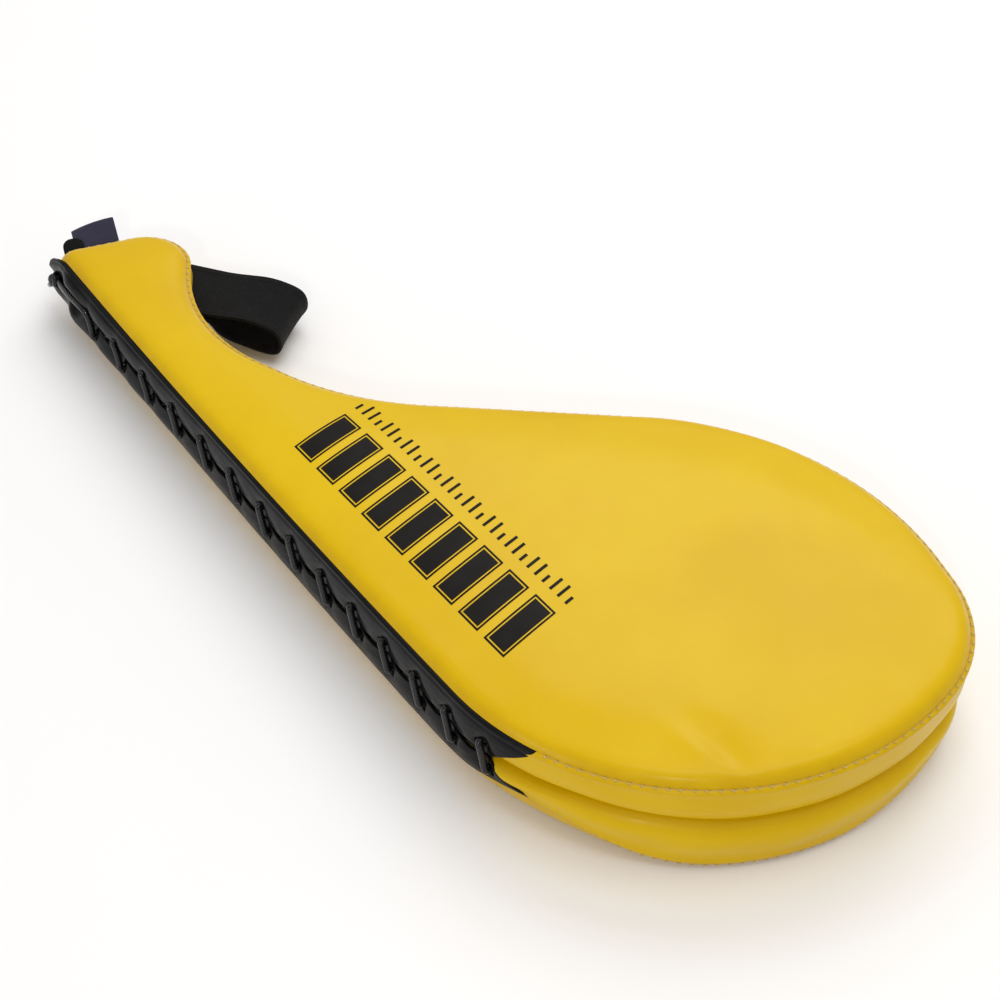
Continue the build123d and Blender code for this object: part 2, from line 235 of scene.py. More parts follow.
class Outline:
    """A leaf's outline, as evenly spaced points from the handle's end corner, laced side first."""

    def __init__(self, head):
        corners = [LACED_SIDE] + head + CORNERS
        points = []
        for number, (corner, radius) in enumerate(corners):
            before = corners[number - 1][0]
            after = corners[(number + 1) % len(corners)][0]
            points.append(corner_arc(before, corner, after, radius))
        points = np.concatenate([points[-1][-1:]] + points)
        lengths = run_lengths(points)
        self.around = lengths[-1]
        self.places = np.linspace(0, self.around, int(self.around / OUTLINE_STEP) + 1)
        self.points = np.stack([np.interp(self.places, lengths, points[:, axis]) for axis in (0, 1)], 1)
        self.tree = KDTree(len(self.points))
        for index, point in enumerate(self.points):
            self.tree.insert((point[0], point[1], 0), index)
        self.tree.balance()

    def at(self, along):
        """Points on the outline and the directions away from the leaf, for distances along it."""
        along = np.asarray(along, float)
        x, y = (np.interp(along % self.around, self.places, self.points[:, axis]) for axis in (0, 1))
        ahead, behind = (along + TANGENT_REACH) % self.around, (along - TANGENT_REACH) % self.around
        dx, dy = (np.interp(ahead, self.places, self.points[:, axis])
                  - np.interp(behind, self.places, self.points[:, axis]) for axis in (0, 1))
        size = np.hypot(dx, dy)
        return np.stack([x, y], -1), np.stack([dy / size, -dx / size], -1)

    def nearest(self, points):
        """Distance along the outline of the place nearest to each plan point."""
        return np.array([self.places[self.tree.find((x, y, 0))[1]] for x, y in points])

    def inside_distance(self, points):
        """How far plan points lie inside the outline, negative outside."""
        foot, outward = self.at(self.nearest(points))
        apart = points - foot
        return np.linalg.norm(apart, axis=1) * -np.sign((apart * outward).sum(1))

    def at_x(self, x):
        """Distance along the laced side of the place with that x."""
        laced = self.points[: int(LACED_LENGTH / OUTLINE_STEP)]
        return float(np.interp(x, laced[:, 0], self.places[: len(laced)]))


# ---- meshes ----

def in_frame(points):
    """Metres in the frame from this script's millimetres."""
    return (np.asarray(points, float) - (*MIDDLE, 0)) * MM


def in_millimetres(points):
    return np.asarray(points) / MM + (*MIDDLE, 0)


def build_mesh(name, verts, faces, uvs=None, attributes=None):
    """A smooth-shaded object from millimetre points."""
    mesh = bpy.data.meshes.new(name)
    mesh.from_pydata(in_frame(verts).tolist(), [], [tuple(map(int, face)) for face in faces])
    mesh.validate()
    if uvs is not None:
        layer = mesh.uv_layers.new(name="thread")
        loops = np.empty(len(mesh.loops), int)
        mesh.loops.foreach_get("vertex_index", loops)
        layer.data.foreach_set("uv", np.asarray(uvs, float)[loops].ravel())
    for key, values in (attributes or {}).items():
        layer = mesh.attributes.new(key, "FLOAT", "POINT")
        layer.data.foreach_set("value", np.asarray(values, float))
    mesh.polygons.foreach_set("use_smooth", [True] * len(mesh.polygons))
    thing = bpy.data.objects.new(name, mesh)
    bpy.context.scene.collection.objects.link(thing)
    return thing


def grid_faces(rows, columns, wrap=False, flip=False):
    """Quads between rows of points. With wrap, the last column joins the first."""
    faces = []
    for row in range(rows - 1):
        for column in range(columns if wrap else columns - 1):
            beside = (column + 1) % columns
            faces.append((row * columns + column, row * columns + beside,
                          (row + 1) * columns + beside, (row + 1) * columns + column))
    return turned(faces) if flip else faces


def turned(faces):
    return [face[::-1] for face in faces]


def shifted(faces, base):
    return [tuple(index + base for index in face) for face in faces]


def add_modifier(thing, kind, **settings):
    modifier = thing.modifiers.new(kind.lower(), kind)
    for key, value in settings.items():
        setattr(modifier, key, value)


def thickened(thing, thickness, offset=0.0):
    """Gives a sheet its thickness in millimetres and rounds it off."""
    add_modifier(thing, "SOLIDIFY", thickness=thickness * MM, offset=offset)
    add_modifier(thing, "SUBSURF", levels=1, render_levels=1)
    return thing


def curve_path(points, steps):
    """A smooth line guided by points: quadratic arcs that join at the runs' middles."""
    points = np.asarray(points, float)
    joints = (points[:-1] + points[1:]) / 2
    joints[0], joints[-1] = points[0], points[-1]
    share = np.linspace(0, 1, steps, endpoint=False)[:, None]
    path = []
    for start, guide, end in zip(joints[:-1], points[1:-1], joints[1:]):
        path.append((1 - share) ** 2 * start + 2 * share * (1 - share) * guide + share ** 2 * end)
    return np.concatenate(path + [joints[-1:]])


def tube(path, radius, sides=12):
    """A closed round tube along a path, with its length and turn as UVs. radius may vary."""
    path = np.asarray(path, float)
    radius = np.broadcast_to(radius, len(path))
    tangent = np.gradient(path, axis=0)
    tangent /= np.linalg.norm(tangent, axis=1)[:, None]
    normal = np.cross(tangent[0], (0, 0, 1) if abs(tangent[0][2]) < 0.9 else (1, 0, 0))
    lengths = run_lengths(path)
    angles = np.linspace(0, 2 * math.pi, sides, endpoint=False)
    verts, uvs = [], []
    for place, direction, size, length in zip(path, tangent, radius, lengths):
        normal = normal - direction * (normal @ direction)
        normal /= np.linalg.norm(normal)
        side = np.cross(direction, normal)
        for angle in angles:
            verts.append(place + size * (math.cos(angle) * normal + math.sin(angle) * side))
            uvs.append((length, angle / (2 * math.pi)))
    faces = grid_faces(len(path), sides, wrap=True)
    for row, place, step in ((0, path[0], -tangent[0]), (len(path) - 1, path[-1], tangent[-1])):
        tip = len(verts)
        verts.append(place + step * radius[row] * 0.6)
        uvs.append((lengths[row], 0.5))
        for column in range(sides):
            edge = (row * sides + column, row * sides + (column + 1) % sides, tip)
            faces.append(edge[::-1] if row == 0 else edge)
    return verts, faces, uvs


def joined(pieces):
    """One set of points, faces and UVs from several."""
    verts, faces, uvs = [], [], []
    for some_verts, some_faces, some_uvs in pieces:
        faces.extend(shifted(some_faces, len(verts)))
        verts.extend(some_verts)
        uvs.extend(some_uvs)
    return verts, faces, uvs


# ---- one leaf ----

class Leaf:
    """The levels of one leaf. up is 1 where its face is on top, -1 where it is underneath."""

    def __init__(self, name, up, head, inner, seam, crown, strip_tip_x, side_profile):
        self.name = name
        self.outline = Outline(head)
        self.body = name + "_leaf"
        self.up = up
        self.inner = inner
        self.seam = seam
        self.crown = crown
        self.strip_tip_x = strip_tip_x
        self.side_profile = side_profile

    def gap(self, x):
        """Height of the gap face."""
        sag = GAP_SAG * ramp(x, *GAP_SAG_X) - GAP_RISE * bell(x, GAP_RISE_X, GAP_RISE_REACH)
        return height(self.inner, x) - sag

    def seam_height(self, x, y=LACED_Y):
        if self.up > 0:
            return height(self.seam, x)
        climb = SEAM_RISE * bell(x, SEAM_RISE_X, SEAM_RISE_REACH)
        shift = climb - SEAM_DROP * ramp(x, *SEAM_DROP_X)
        return height(self.seam, x) + shift * ramp(y, *SEAM_SHIFT_Y)

    def side(self, plan, share):
        """Height on the side: share 0 at the gap face, 1 at the seam."""
        inner = self.gap(plan[..., 0])
        return inner + (self.seam_height(plan[..., 0], plan[..., 1]) - inner) * share


# side profiles from the gap face to the seam: (out from the outline, share of the height)
UPPER_SIDE = [
    (-6.6, 0), (-4.2, 0.01), (-2.4, 0.05), (-1.0, 0.12), (-0.2, 0.21), (0.3, 0.33), (0.6, 0.48),
    (0.55, 0.64), (0.35, 0.78), (0.4, 0.86), (0.7, 0.91), (0.65, 0.95), (0.1, 0.985), (-1.0, 1),
]
LOWER_SIDE = [
    (-6.6, 0), (-5.0, 0.015), (-3.2, 0.055), (-1.4, 0.12), (0.1, 0.21), (0.9, 0.31), (1.0, 0.42),
    (0.7, 0.56), (0.1, 0.72), (0.0, 0.84), (0.2, 0.90), (0.1, 0.95), (-0.3, 0.985), (-1.0, 1),
]
LINING = [(-6.8, 0), (-6.0, 0.25), (-5.6, 0.62)]        # the side cover behind the lace strips
LINING_COLUMNS = 120
LINING_START = 3.0
LINING_LAP = 2.0                    # it reaches this far behind the start of the open side cover
STRIP_LAP = 1.5                     # the side cover reaches this far under the strip's tip
END_LAP = 1.0                       # and this far past the outline's start
RIPPLE_REACH = 0.06                 # shares of the height that the ripple and the painted seam shade reach down
SIDE_SHADE_REACH = 0.12
UPPER = Leaf("upper", 1, UPPER_HEAD, UPPER_INNER, UPPER_SEAM, TOP, UPPER_TIP_X, UPPER_SIDE)
LOWER = Leaf("lower", -1, LOWER_HEAD, LOWER_INNER, LOWER_SEAM, FLOOR, LOWER_TIP_X, LOWER_SIDE)


def panel_points(outline, rings, ring_pitch, pitch, inset):
    """Plan points of a leaf-shaped panel: rows along its edge, then an even field. Returns the
    points, how far each is in from the panel's edge, and how many are on the edge."""
    count = int(outline.around / ring_pitch)
    points, depths = [], []
    for number, step in enumerate(rings):
        along = (np.arange(count) + 0.5 * (number % 2)) * outline.around / count
        foot, outward = outline.at(along)
        row = foot - outward * (inset + step)
        keep = outline.inside_distance(row) > inset + step - ROW_SLACK
        points.append(row[keep])
        depths.append(np.full(keep.sum(), float(step)))
    low, high = outline.points.min(0), outline.points.max(0)
    rows = np.arange(low[1], high[1], pitch * math.sqrt(3) / 2)
    field = []
    for number, y in enumerate(rows):
        for x in np.arange(low[0] + pitch / 2 * (number % 2), high[0], pitch):
            field.append((x, y))
    field = np.array(field)
    distance = outline.inside_distance(field) - inset
    keep = distance > rings[-1] + FIELD_START * pitch
    points.append(field[keep])
    depths.append(distance[keep])
    return np.concatenate(points), np.concatenate(depths), len(points[0])


def triangulate(points, edge_count):
    """Triangles that fill a closed edge made of the first points."""
    edge = list(range(edge_count))
    result = delaunay_2d_cdt([Vector(point) for point in points], [], [edge], 1, 1e-4)
    source = [original[0] for original in result[3]]
    return [tuple(source[index] for index in face) for face in result[2]]


def neighbours(faces):
    edges = set()
    for face in faces:
        for first, second in zip(face, face[1:] + face[:1]):
            edges.add((min(first, second), max(first, second)))
    return np.array(sorted(edges))


def relax(values, edges, weight, rounds):
    """Evens out values over a mesh where weight is above 0."""
    for _ in range(rounds):
        total = np.zeros_like(values)
        count = np.zeros(len(values))
        np.add.at(total, edges[:, 0], values[edges[:, 1]])
        np.add.at(total, edges[:, 1], values[edges[:, 0]])
        np.add.at(count, edges[:, 0], 1)
        np.add.at(count, edges[:, 1], 1)
        shape = (-1,) + (1,) * (values.ndim - 1)
        mean = total / count.reshape(shape)
        values = values + (mean - values) * weight.reshape(shape)
    return values


def crown_profile(leaf, depth):
    """Share of the crown's height at a depth in from the seam."""
    share, reach = (ROLL_SHARE, CROWN_REACH) if leaf.up > 0 else (FLAT_ROLL_SHARE, FLAT_CROWN_REACH)
    return share * (1 - np.exp(-depth / ROLL_REACH)) + (1 - share) * (1 - np.exp(-depth / reach))


def dimple(points):
    """A soft crease where the face meets the round of the head on the laced side."""
    offset = points - DIMPLE
    along = offset @ DIMPLE_DIRECTION
    across = offset @ np.array([-DIMPLE_DIRECTION[1], DIMPLE_DIRECTION[0]])
    high, crest_across, crest_along = DIMPLE_CREST
    low, dent_across, dent_along = DIMPLE_DENT
    crest = high * bell(across, 0, crest_across) * bell(along, 0, crest_along)
    dent = low * bell(across, DENT_OFFSET[0], dent_across) * bell(along, DENT_OFFSET[1], dent_along)
    return crest - dent


def pucker(along, depth):
    """Small gathers where the stitches pull on the panel, and slower uneven ones behind them."""
    even = np.cos(2 * math.pi * along / STITCH_PITCH)
    uneven = np.sin(along / 11.3) * np.sin(along / 27.1 + 1.3) + 0.6 * np.sin(along / 6.1 + 0.7)
    gathers = GATHER[0] * even * np.exp(-depth / GATHER[1])
    return gathers + SLOW_GATHER[0] * uneven * np.exp(-depth / SLOW_GATHER[1]) * ramp(depth, 0, 1.5)


def face_surface(leaf, rings, ring_pitch, pitch, inset=SEAM_INSET, sink=0.0):
    """Points and triangles of a crowned leaf face, with the depth in from its edge."""
    plan, depth, edge_count = panel_points(leaf.outline, rings, ring_pitch, pitch, inset)
    faces = triangulate(plan, edge_count)
    seam = leaf.seam_height(plan[:, 0], plan[:, 1])
    crown = height(leaf.crown, plan[:, 0])
    rise = crown_profile(leaf, depth + sink)
    edges = neighbours(faces)
    rise = relax(rise, edges, CROWN_EVEN * ramp(depth, *CROWN_EVEN_DEPTH), CROWN_ROUNDS)
    z = seam + (crown - seam) * rise - leaf.up * sink
    return np.column_stack([plan, z]), faces, depth, edge_count


# ---- cloth simulation of the stuffed covers ----

SIM_VOXEL = 5.0
SIM_FRAMES = 20
CLOTH = {
    "quality": 6, "mass": 0.3, "tension_stiffness": 25, "compression_stiffness": 25,
    "shear_stiffness": 12, "bending_stiffness": 1.5, "vertex_group_mass": "held",
    "use_pressure": True, "uniform_pressure_force": 4.0,
}
SIM_CAP = 3.2                       # how far a point may move
SIM_SIDE = -0.4                     # the sides start a little in from the outline
SIM_HELD = (4.0, 3.5, 2.5)          # held near the seam, in and up or down from it, and near the gap


def closed_faces(leaf, faces, count, rows):
    """A top, the same turned over below it, and walls between rows of points."""
    closed = faces + shifted(turned(faces), count)
    for row, below in zip(rows, rows[1:]):
        for column in range(len(row)):
            beside = (column + 1) % len(row)
            closed.append((row[column], below[column], below[beside], row[beside]))
    return closed if leaf.up > 0 else turned(closed)


def closed_body(leaf):
    """A plain closed leaf for the simulation to swell."""
    top, faces, depth, edge_count = face_surface(leaf, (0, 3.0, 7.0), 5.0, 6.0)
    bottom = top.copy()
    bottom[:, 2] = leaf.gap(top[:, 0])
    count = len(top)
    edge = np.arange(edge_count)
    along = edge * leaf.outline.around / edge_count
    sides = [side_point(leaf, along, SIM_SIDE, share) for share in (0.66, 0.33)]
    rows = [edge, edge + 2 * count, edge + 2 * count + edge_count, edge + count]
    verts = np.concatenate([top, bottom] + sides)
    return build_mesh(leaf.name + "_swell", verts, closed_faces(leaf, faces, count, rows))


def coordinates(mesh):
    flat = np.empty(len(mesh.vertices) * 3)
    mesh.vertices.foreach_get("co", flat)
    return flat.reshape(-1, 3)


def evaluated_mesh(thing):
    depsgraph = bpy.context.evaluated_depsgraph_get()
    return bpy.data.meshes.new_from_object(thing.evaluated_get(depsgraph))


class Swell:
    """How the stuffed cover of a leaf moves away from its plain shape."""

    def __init__(self, leaf):
        scene = bpy.context.scene
        body = closed_body(leaf)
        add_modifier(body, "REMESH", mode="VOXEL", voxel_size=SIM_VOXEL * MM)
        body.data = evaluated_mesh(body)
        body.modifiers.clear()
        self.rest = in_millimetres(coordinates(body.data))
        distance = leaf.outline.inside_distance(self.rest[:, :2])
        share = (self.rest[:, 2] - leaf.gap(self.rest[:, 0])) * leaf.up
        seam = (leaf.seam_height(self.rest[:, 0], self.rest[:, 1]) - leaf.gap(self.rest[:, 0])) * leaf.up
        inward, beside_seam, above_gap = SIM_HELD
        held = ((distance < inward) & (np.abs(share - seam) < beside_seam)) | (share < above_gap)
        group = body.vertex_groups.new(name="held")
        group.add(np.flatnonzero(held).tolist(), 1.0, "REPLACE")
        cloth = body.modifiers.new("cloth", "CLOTH")
        for key, value in CLOTH.items():
            setattr(cloth.settings, key, value)
        cloth.settings.effector_weights.gravity = 0
        cloth.collision_settings.use_collision = False
        cloth.point_cache.frame_end = SIM_FRAMES
        for number in range(1, SIM_FRAMES + 1):
            scene.frame_set(number)
        moved = in_millimetres(coordinates(evaluated_mesh(body))) - self.rest
        scene.frame_set(1)
        size = np.linalg.norm(moved, axis=1)
        print(f"{leaf.name} swell {size.mean():.2f} mm mean, {size.max():.2f} mm most")
        self.moved = moved * (SIM_CAP * np.tanh(size / SIM_CAP) / np.maximum(size, 1e-6))[:, None]
        self.faces = [tuple(face.vertices) for face in body.data.polygons]
        self.tree = BVHTree.FromPolygons(self.rest.tolist(), self.faces)
        bpy.data.objects.remove(body)

    def shift(self, points, weight):
        """Moves points with the nearest place on the swollen cover, by their weight."""
        result = np.array(points, float)
        for index, point in enumerate(result):
            if weight[index] <= 0:
                continue
            nearest, _, number, _ = self.tree.find_nearest(Vector(point))
            face = self.faces[number]
            shares = poly_3d_calc([Vector(self.rest[corner]) for corner in face], nearest)
            result[index] += weight[index] * sum(share * self.moved[corner]
                                                 for share, corner in zip(shares, face))
        return result


FLAT_SWELL = 0.5                    # share of the swelling that the floor side and the sides keep
SIDE_SWELL = 0.4
SWELL_DEPTH = (0.5, 6.5)            # the swelling starts, and is full, this far in from the seam
EVEN_DEPTH = (3.0, 7.0)             # the same for the evening out after it
DIMPLE_DEPTH = (1.0, 5.0)
PUCKER_DEPTH = (0.0, 0.6)
EDGE_SHADE_REACH = 3.0                     # the painted shade fades out this far in from a panel's edge


def swell_of(leaf):
    return Swell(leaf)


# ---- the stuffed leaf's pieces ----

def face_panel(leaf, swell):
    verts, faces, depth, edge_count = face_surface(leaf, RING_STEPS, RING_PITCH, PANEL_PITCH)
    along = leaf.outline.nearest(verts[:, :2])
    if swell:
        verts = swell.shift(verts, ramp(depth, *SWELL_DEPTH) * (1 if leaf.up > 0 else FLAT_SWELL))
        verts = relax(verts, neighbours(faces), 0.6 * ramp(depth, *EVEN_DEPTH), 6)
    verts[:, 2] += leaf.up * pucker(along, depth) * ramp(depth, *PUCKER_DEPTH)
    if leaf.up > 0:
        verts[:, 2] += dimple(verts[:, :2]) * ramp(depth, *DIMPLE_DEPTH)
    else:
        verts[:, 2] = np.maximum(verts[:, 2], FLOOR[0])
        faces = turned(faces)
    # edge sets the painted shade on the face: 1 at the seam, fading inwards
    edge = np.exp(-depth / EDGE_SHADE_REACH)
    return build_mesh(leaf.name + "_face_cover", verts, faces, attributes={"edge": edge})


SIDE_TALL = 15.0                    # about the height of a side
SIDE_ROWS = 30


def profile_curve(profile, count):
    """Evenly spread points along a side profile."""
    points = np.array(profile, float)
    scaled = points * (1, SIDE_TALL)
    lengths = run_lengths(scaled)
    places = np.linspace(0, lengths[-1], count)
    return np.stack([np.interp(places, lengths, points[:, axis]) for axis in (0, 1)], 1)


def side_point(leaf, along, out, share):
    foot, outward = leaf.outline.at(along)
    lean = ramp(outward[..., 0], *TIP_FACING) * (foot[..., 0] > HEAD_X / 2) * (leaf.up > 0)
    out = out - TIP_LEAN * lean * np.clip(1 - share, 0, 1)
    plan = foot + outward * out[..., None]
    return np.concatenate([plan, leaf.side(foot, share)[..., None]], -1)


def gusset(leaf, swell):
    """The yellow side, from one tip of the lace strip round the head to the handle end."""
    rows = profile_curve(leaf.side_profile, SIDE_ROWS)
    tip = leaf.outline.at_x(leaf.strip_tip_x) - STRIP_LAP
    notch = leaf.outline.at_x(FISHTAIL_NOTCH_X) - STRIP_LAP
    end = leaf.outline.around + END_LAP
    columns = int((end - tip) / RING_PITCH)
    verts, edge = [], []
    for out, share in rows:
        along = np.linspace(notch + (tip - notch) * share, end, columns)
        ripple = SEAM_RIPPLE * np.cos(2 * math.pi * along / STITCH_PITCH)
        ripple = ripple * math.exp(-(1 - share) / RIPPLE_REACH)
        slow = SIDE_WAVE * np.sin(along / 17.7 + 5 * share) * np.sin(along / 7.9) * math.sin(math.pi * share)
        tucked = END_TUCK * ramp(along, end - END_TUCK_REACH, end)
        verts.append(side_point(leaf, along, out + ripple + slow - tucked, share))
        # edge sets the painted shade on the side: strongest at the seam
        edge.append(np.full(columns, math.exp(-(1 - share) / SIDE_SHADE_REACH)))
    verts = np.concatenate(verts)
    if swell:
        share = np.repeat(rows[:, 1], columns)
        verts = swell.shift(verts, SIDE_SWELL * np.sin(math.pi * np.clip(share, 0, 1)) ** 2)
    faces = grid_faces(len(rows), columns, flip=leaf.up < 0)
    wall = np.linspace(LINING_START, notch + LINING_LAP, LINING_COLUMNS)
    faces += shifted(grid_faces(len(LINING), LINING_COLUMNS, flip=leaf.up < 0), len(verts))
    edge.append(np.zeros(len(LINING) * LINING_COLUMNS))
    verts = np.concatenate([verts] + [side_point(leaf, wall, out, share) for out, share in LINING])
    return build_mesh(leaf.name + "_side_cover", verts, faces, attributes={"edge": np.concatenate(edge)})


def inner_panel(leaf):
    plan, depth, edge_count = panel_points(leaf.outline, (0, 1.5, 4.0), 2.5, 5.0, INNER_INSET)
    faces = triangulate(plan, edge_count)
    dish = GAP_DISH * (ramp(depth, 0, 4) - 1)
    verts = np.column_stack([plan, leaf.gap(plan[:, 0]) - leaf.up * dish])
    if leaf.up > 0:
        faces = turned(faces)
    # edge sets the painted shade in the gap: strongest at the panel's edge
    return build_mesh(leaf.name + "_gap_cover", verts, faces, attributes={"edge": np.exp(-depth / EDGE_SHADE_REACH)})


def foam_block(leaf, name, low_share, high_share, inset):
    """A hidden slab of the filling between two shares of the leaf's height."""
    top, faces, depth, edge_count = face_surface(leaf, (0, 2.0, 5.0), 5.0, 7.0, inset=inset, sink=FOAM_SINK)
    base = leaf.gap(top[:, 0])
    side = leaf.seam_height(top[:, 0], top[:, 1]) - base
    high = base + side * high_share if high_share < 1 else top[:, 2]
    low = base + side * low_share + leaf.up * FOAM_LIFT
    upper_side = np.column_stack([top[:, :2], high])
    lower_side = np.column_stack([top[:, :2], low])
    edge = np.arange(edge_count)
    all_faces = closed_faces(leaf, faces, len(top), [edge, edge + len(top)])
    return build_mesh(name, np.concatenate([upper_side, lower_side]), all_faces)


def seam_stitches(leaf):
    """Short pale stitches that bite into the seam, over a thread that runs along it."""
    start = leaf.outline.at_x(leaf.strip_tip_x) + SEAM_START
    end = leaf.outline.around - SEAM_END
    out, share, radius = SEAM_THREAD
    pieces = [tube(side_point(leaf, np.arange(start, end, 1.0), out, share), radius, sides=6)]
    for place in np.arange(start, end, STITCH_PITCH):
        along = place + np.array(STITCH_REACH) + random.uniform(-STITCH_SHIFT, STITCH_SHIFT)
        path = curve_path(side_point(leaf, along, np.array(STITCH_OUT), np.array(STITCH_SHARE)), 3)
        radius = np.full(len(path), STITCH_R)
        radius[[0, -1]] *= 0.8
        pieces.append(tube(path, radius, sides=7))
    return build_mesh(leaf.name + "_stitches", *joined(pieces))


# ---- the lace strips ----

def crossing(number):
    """Distance along the laced side of a crossing's upper hole."""
    return FIRST_CROSSING + number * CROSSING_PITCH - number ** 2 * CROSSING_EASE


def crossings_passed(along):
    """How many crossings lie before a place on the laced side, with fractions between two."""
    middles = [crossing(number) + CROSSING_SLANT / 2 for number in range(-1, CROSSINGS + 1)]
    return np.interp(along, middles, np.arange(-1, CROSSINGS + 1), left=-1, right=CROSSINGS)


def strip_line(leaf, along):
    """Plan points on the strips' line and the way out: the leaf's side, then straight on."""
    along = np.asarray(along, float)
    foot, outward = leaf.outline.at(np.maximum(along, EAR_START))
    past = np.minimum(along - EAR_START, 0)
    turn = math.radians(EAR_TURN)
    ahead = np.array([math.cos(turn), math.sin(turn)])
    straight = np.array([math.sin(turn), -math.cos(turn)])
    blend = ramp(past, 0, -8)[..., None]
    outward = outward * (1 - blend) + straight * blend
    return foot + ahead * past[..., None], outward / np.linalg.norm(outward, axis=-1)[..., None]


def swag(along):
    """0 at each crossing of the lace, 1 midway between two."""
    return np.abs(np.sin(math.pi * crossings_passed(along)))


def strip_point(leaf, along, share):
    """A point on a strip: share 0 at its free edge in the gap, 1 at the seam."""
    foot, outward = strip_line(leaf, along)
    middle = height(MID, foot[..., 0])
    loose = swag(along)
    mouth = MOUTH_GAP * bell(along, MOUTH_ALONG, MOUTH_REACH)
    ear = ramp(along, *(UPPER_SLOPE if leaf.up > 0 else LOWER_SLOPE))
    rounding = np.clip((EAR_START - EAR_LENGTH + EAR_ROUND - along) / EAR_ROUND, 0, 1)
    pull = leaf.up * EAR_ROUND * (1 - np.sqrt(1 - rounding ** 2))
    edge = middle + leaf.up * (FREE_EDGE + SWAG * loose ** 1.4 + mouth) + pull
    ear_top = middle + leaf.up * (EAR_ROOT + EAR_HEIGHT)
    top = leaf.seam_height(foot[..., 0]) * (1 - ear) + ear_top * ear - pull
    z = edge + (top - edge) * share
    belly = np.sin(math.pi * np.clip(share, 0, 1))
    bulge = BULGE * np.clip(1 - along / BULGE_REACH, 0, 1) * ramp(along, -6, 8)
    out = STRIP_PROUD + (BELLY + bulge) * belly + (1 - share) ** 1.5 * (SWAG_OUT * loose - EDGE_IN)
    out = out - SEWN_IN * np.clip((share - SEWN_SHARE) / (1 - SEWN_SHARE), 0, 1) ** 2
    out = out - TOPSTITCH[0] * bell(share, *TOPSTITCH[1:])
    passed = crossings_passed(along)
    bite = LACE_BITE * bell(passed, np.round(passed), LACE_BITE_REACH)
    out = out - bite * np.sin(math.pi * np.clip(share * 1.2, 0, 1)) * (1 - share)
    wrinkle = np.sin(along / 1.9 + 14 * share) * np.sin(along / 6.7 + 2) * (1 - share) ** 2
    out = out + WRINKLE * wrinkle * (1 if leaf.up > 0 else LOWER_WRINKLE) * loose
    return np.concatenate([foot + outward * np.asarray(out)[..., None], z[..., None]], -1)


def lace_strip(leaf):
    """A turned strip of coated cloth with punched holes, its end cut to a fishtail tip."""
    tip = leaf.outline.at_x(leaf.strip_tip_x)
    notch = leaf.outline.at_x(FISHTAIL_NOTCH_X)
    start = EAR_START - EAR_LENGTH
    columns = int((tip - start) / STRIP_PITCH)
    shares = np.linspace(0, 1, STRIP_ROWS)
    ends = notch + (tip - notch) * shares
    verts = np.concatenate([strip_point(leaf, np.linspace(start, end, columns), share)
                            for end, share in zip(ends, shares)])
    if leaf.up > 0:
        holes = [(crossing(number), UPPER_HOLE_RISE) for number in range(1, CROSSINGS)]
    else:
        holes = [(crossing(number) + CROSSING_SLANT, -LOWER_HOLE_DROP) for number in range(CROSSINGS)]
    gone = np.zeros(len(verts), bool)
    for along, rise in holes:
        foot, outward = strip_line(leaf, along)
        away = np.append(outward, 0)
        offset = verts - (foot[0], foot[1], height(MID, foot[0]) + rise)
        flat = offset - np.outer(offset @ away, away)
        distance = np.linalg.norm(flat, axis=1)
        gone |= distance < HOLE_R * HOLE_CUT
        rim = (distance >= HOLE_R * HOLE_CUT) & (distance < HOLE_R * HOLE_RIM)
        verts[rim] += flat[rim] * ((HOLE_R - distance[rim]) / distance[rim])[:, None]
        verts -= np.outer(HOLE_DENT * bell(distance, 0, HOLE_DENT_REACH), away)
    faces = [face for face in grid_faces(STRIP_ROWS, columns, flip=leaf.up < 0)
             if not any(gone[index] for index in face)]
    used = sorted({index for face in faces for index in face})
    order = {old: new for new, old in enumerate(used)}
    faces = [tuple(order[index] for index in face) for face in faces]
    share = np.repeat(shares, columns)[used]
    thing = build_mesh(leaf.name + "_laced_strip", verts[used], faces, attributes={"edge": share})
    return thickened(thing, STRIP_THICK, offset=-1.0)


# ---- the lace ----

def lace_spot(leaf, along, out, rise):
    foot, outward = strip_line(leaf, along)
    x = foot[0]
    share = (abs(rise) - 0.9) / abs(leaf.seam_height(x) - height(MID, x))
    surface = strip_point(leaf, along, np.clip(share, 0, 1))
    return np.array([surface[0] + outward[0] * out, surface[1] + outward[1] * out, height(MID, x) + rise])


def lace_route():
    """Whip lacing: down outside the strips, then up behind them to the next hole."""
    inside, outside = -STRIP_THICK - LACE_R - 0.8, LACE_R * 0.95
    points = [
        lace_spot(UPPER, KNOT_ALONG + 1.5, outside, 1.0),
        lace_spot(UPPER, KNOT_ALONG + 12, outside + 0.8, 4.2),
    ]
    for number in range(CROSSINGS):
        upper = crossing(number)
        lower = upper + CROSSING_SLANT
        if number > 0:
            points.append(lace_spot(UPPER, upper - 0.6, inside, UPPER_HOLE_RISE + 0.8))
        points.append(lace_spot(UPPER, upper + 0.1, outside * 0.6, UPPER_HOLE_RISE + 0.9))
        points.append(lace_spot(UPPER, upper + 1.2, outside * 1.25, UPPER_HOLE_RISE - 2.2))
        points.append(lace_spot(LOWER, lower - 1.2, outside * 1.25, -LOWER_HOLE_DROP + 2.2))
        points.append(lace_spot(LOWER, lower - 0.1, outside * 0.6, -LOWER_HOLE_DROP - 0.9))
        points.append(lace_spot(LOWER, lower + 0.6, inside, -LOWER_HOLE_DROP - 0.6))
    return points


def lace():
    path = curve_path(lace_route(), 7)
    print(f"lace {run_lengths(path)[-1]:.0f} mm")
    return build_mesh("lace_cord", *tube(path, LACE_R, sides=16))


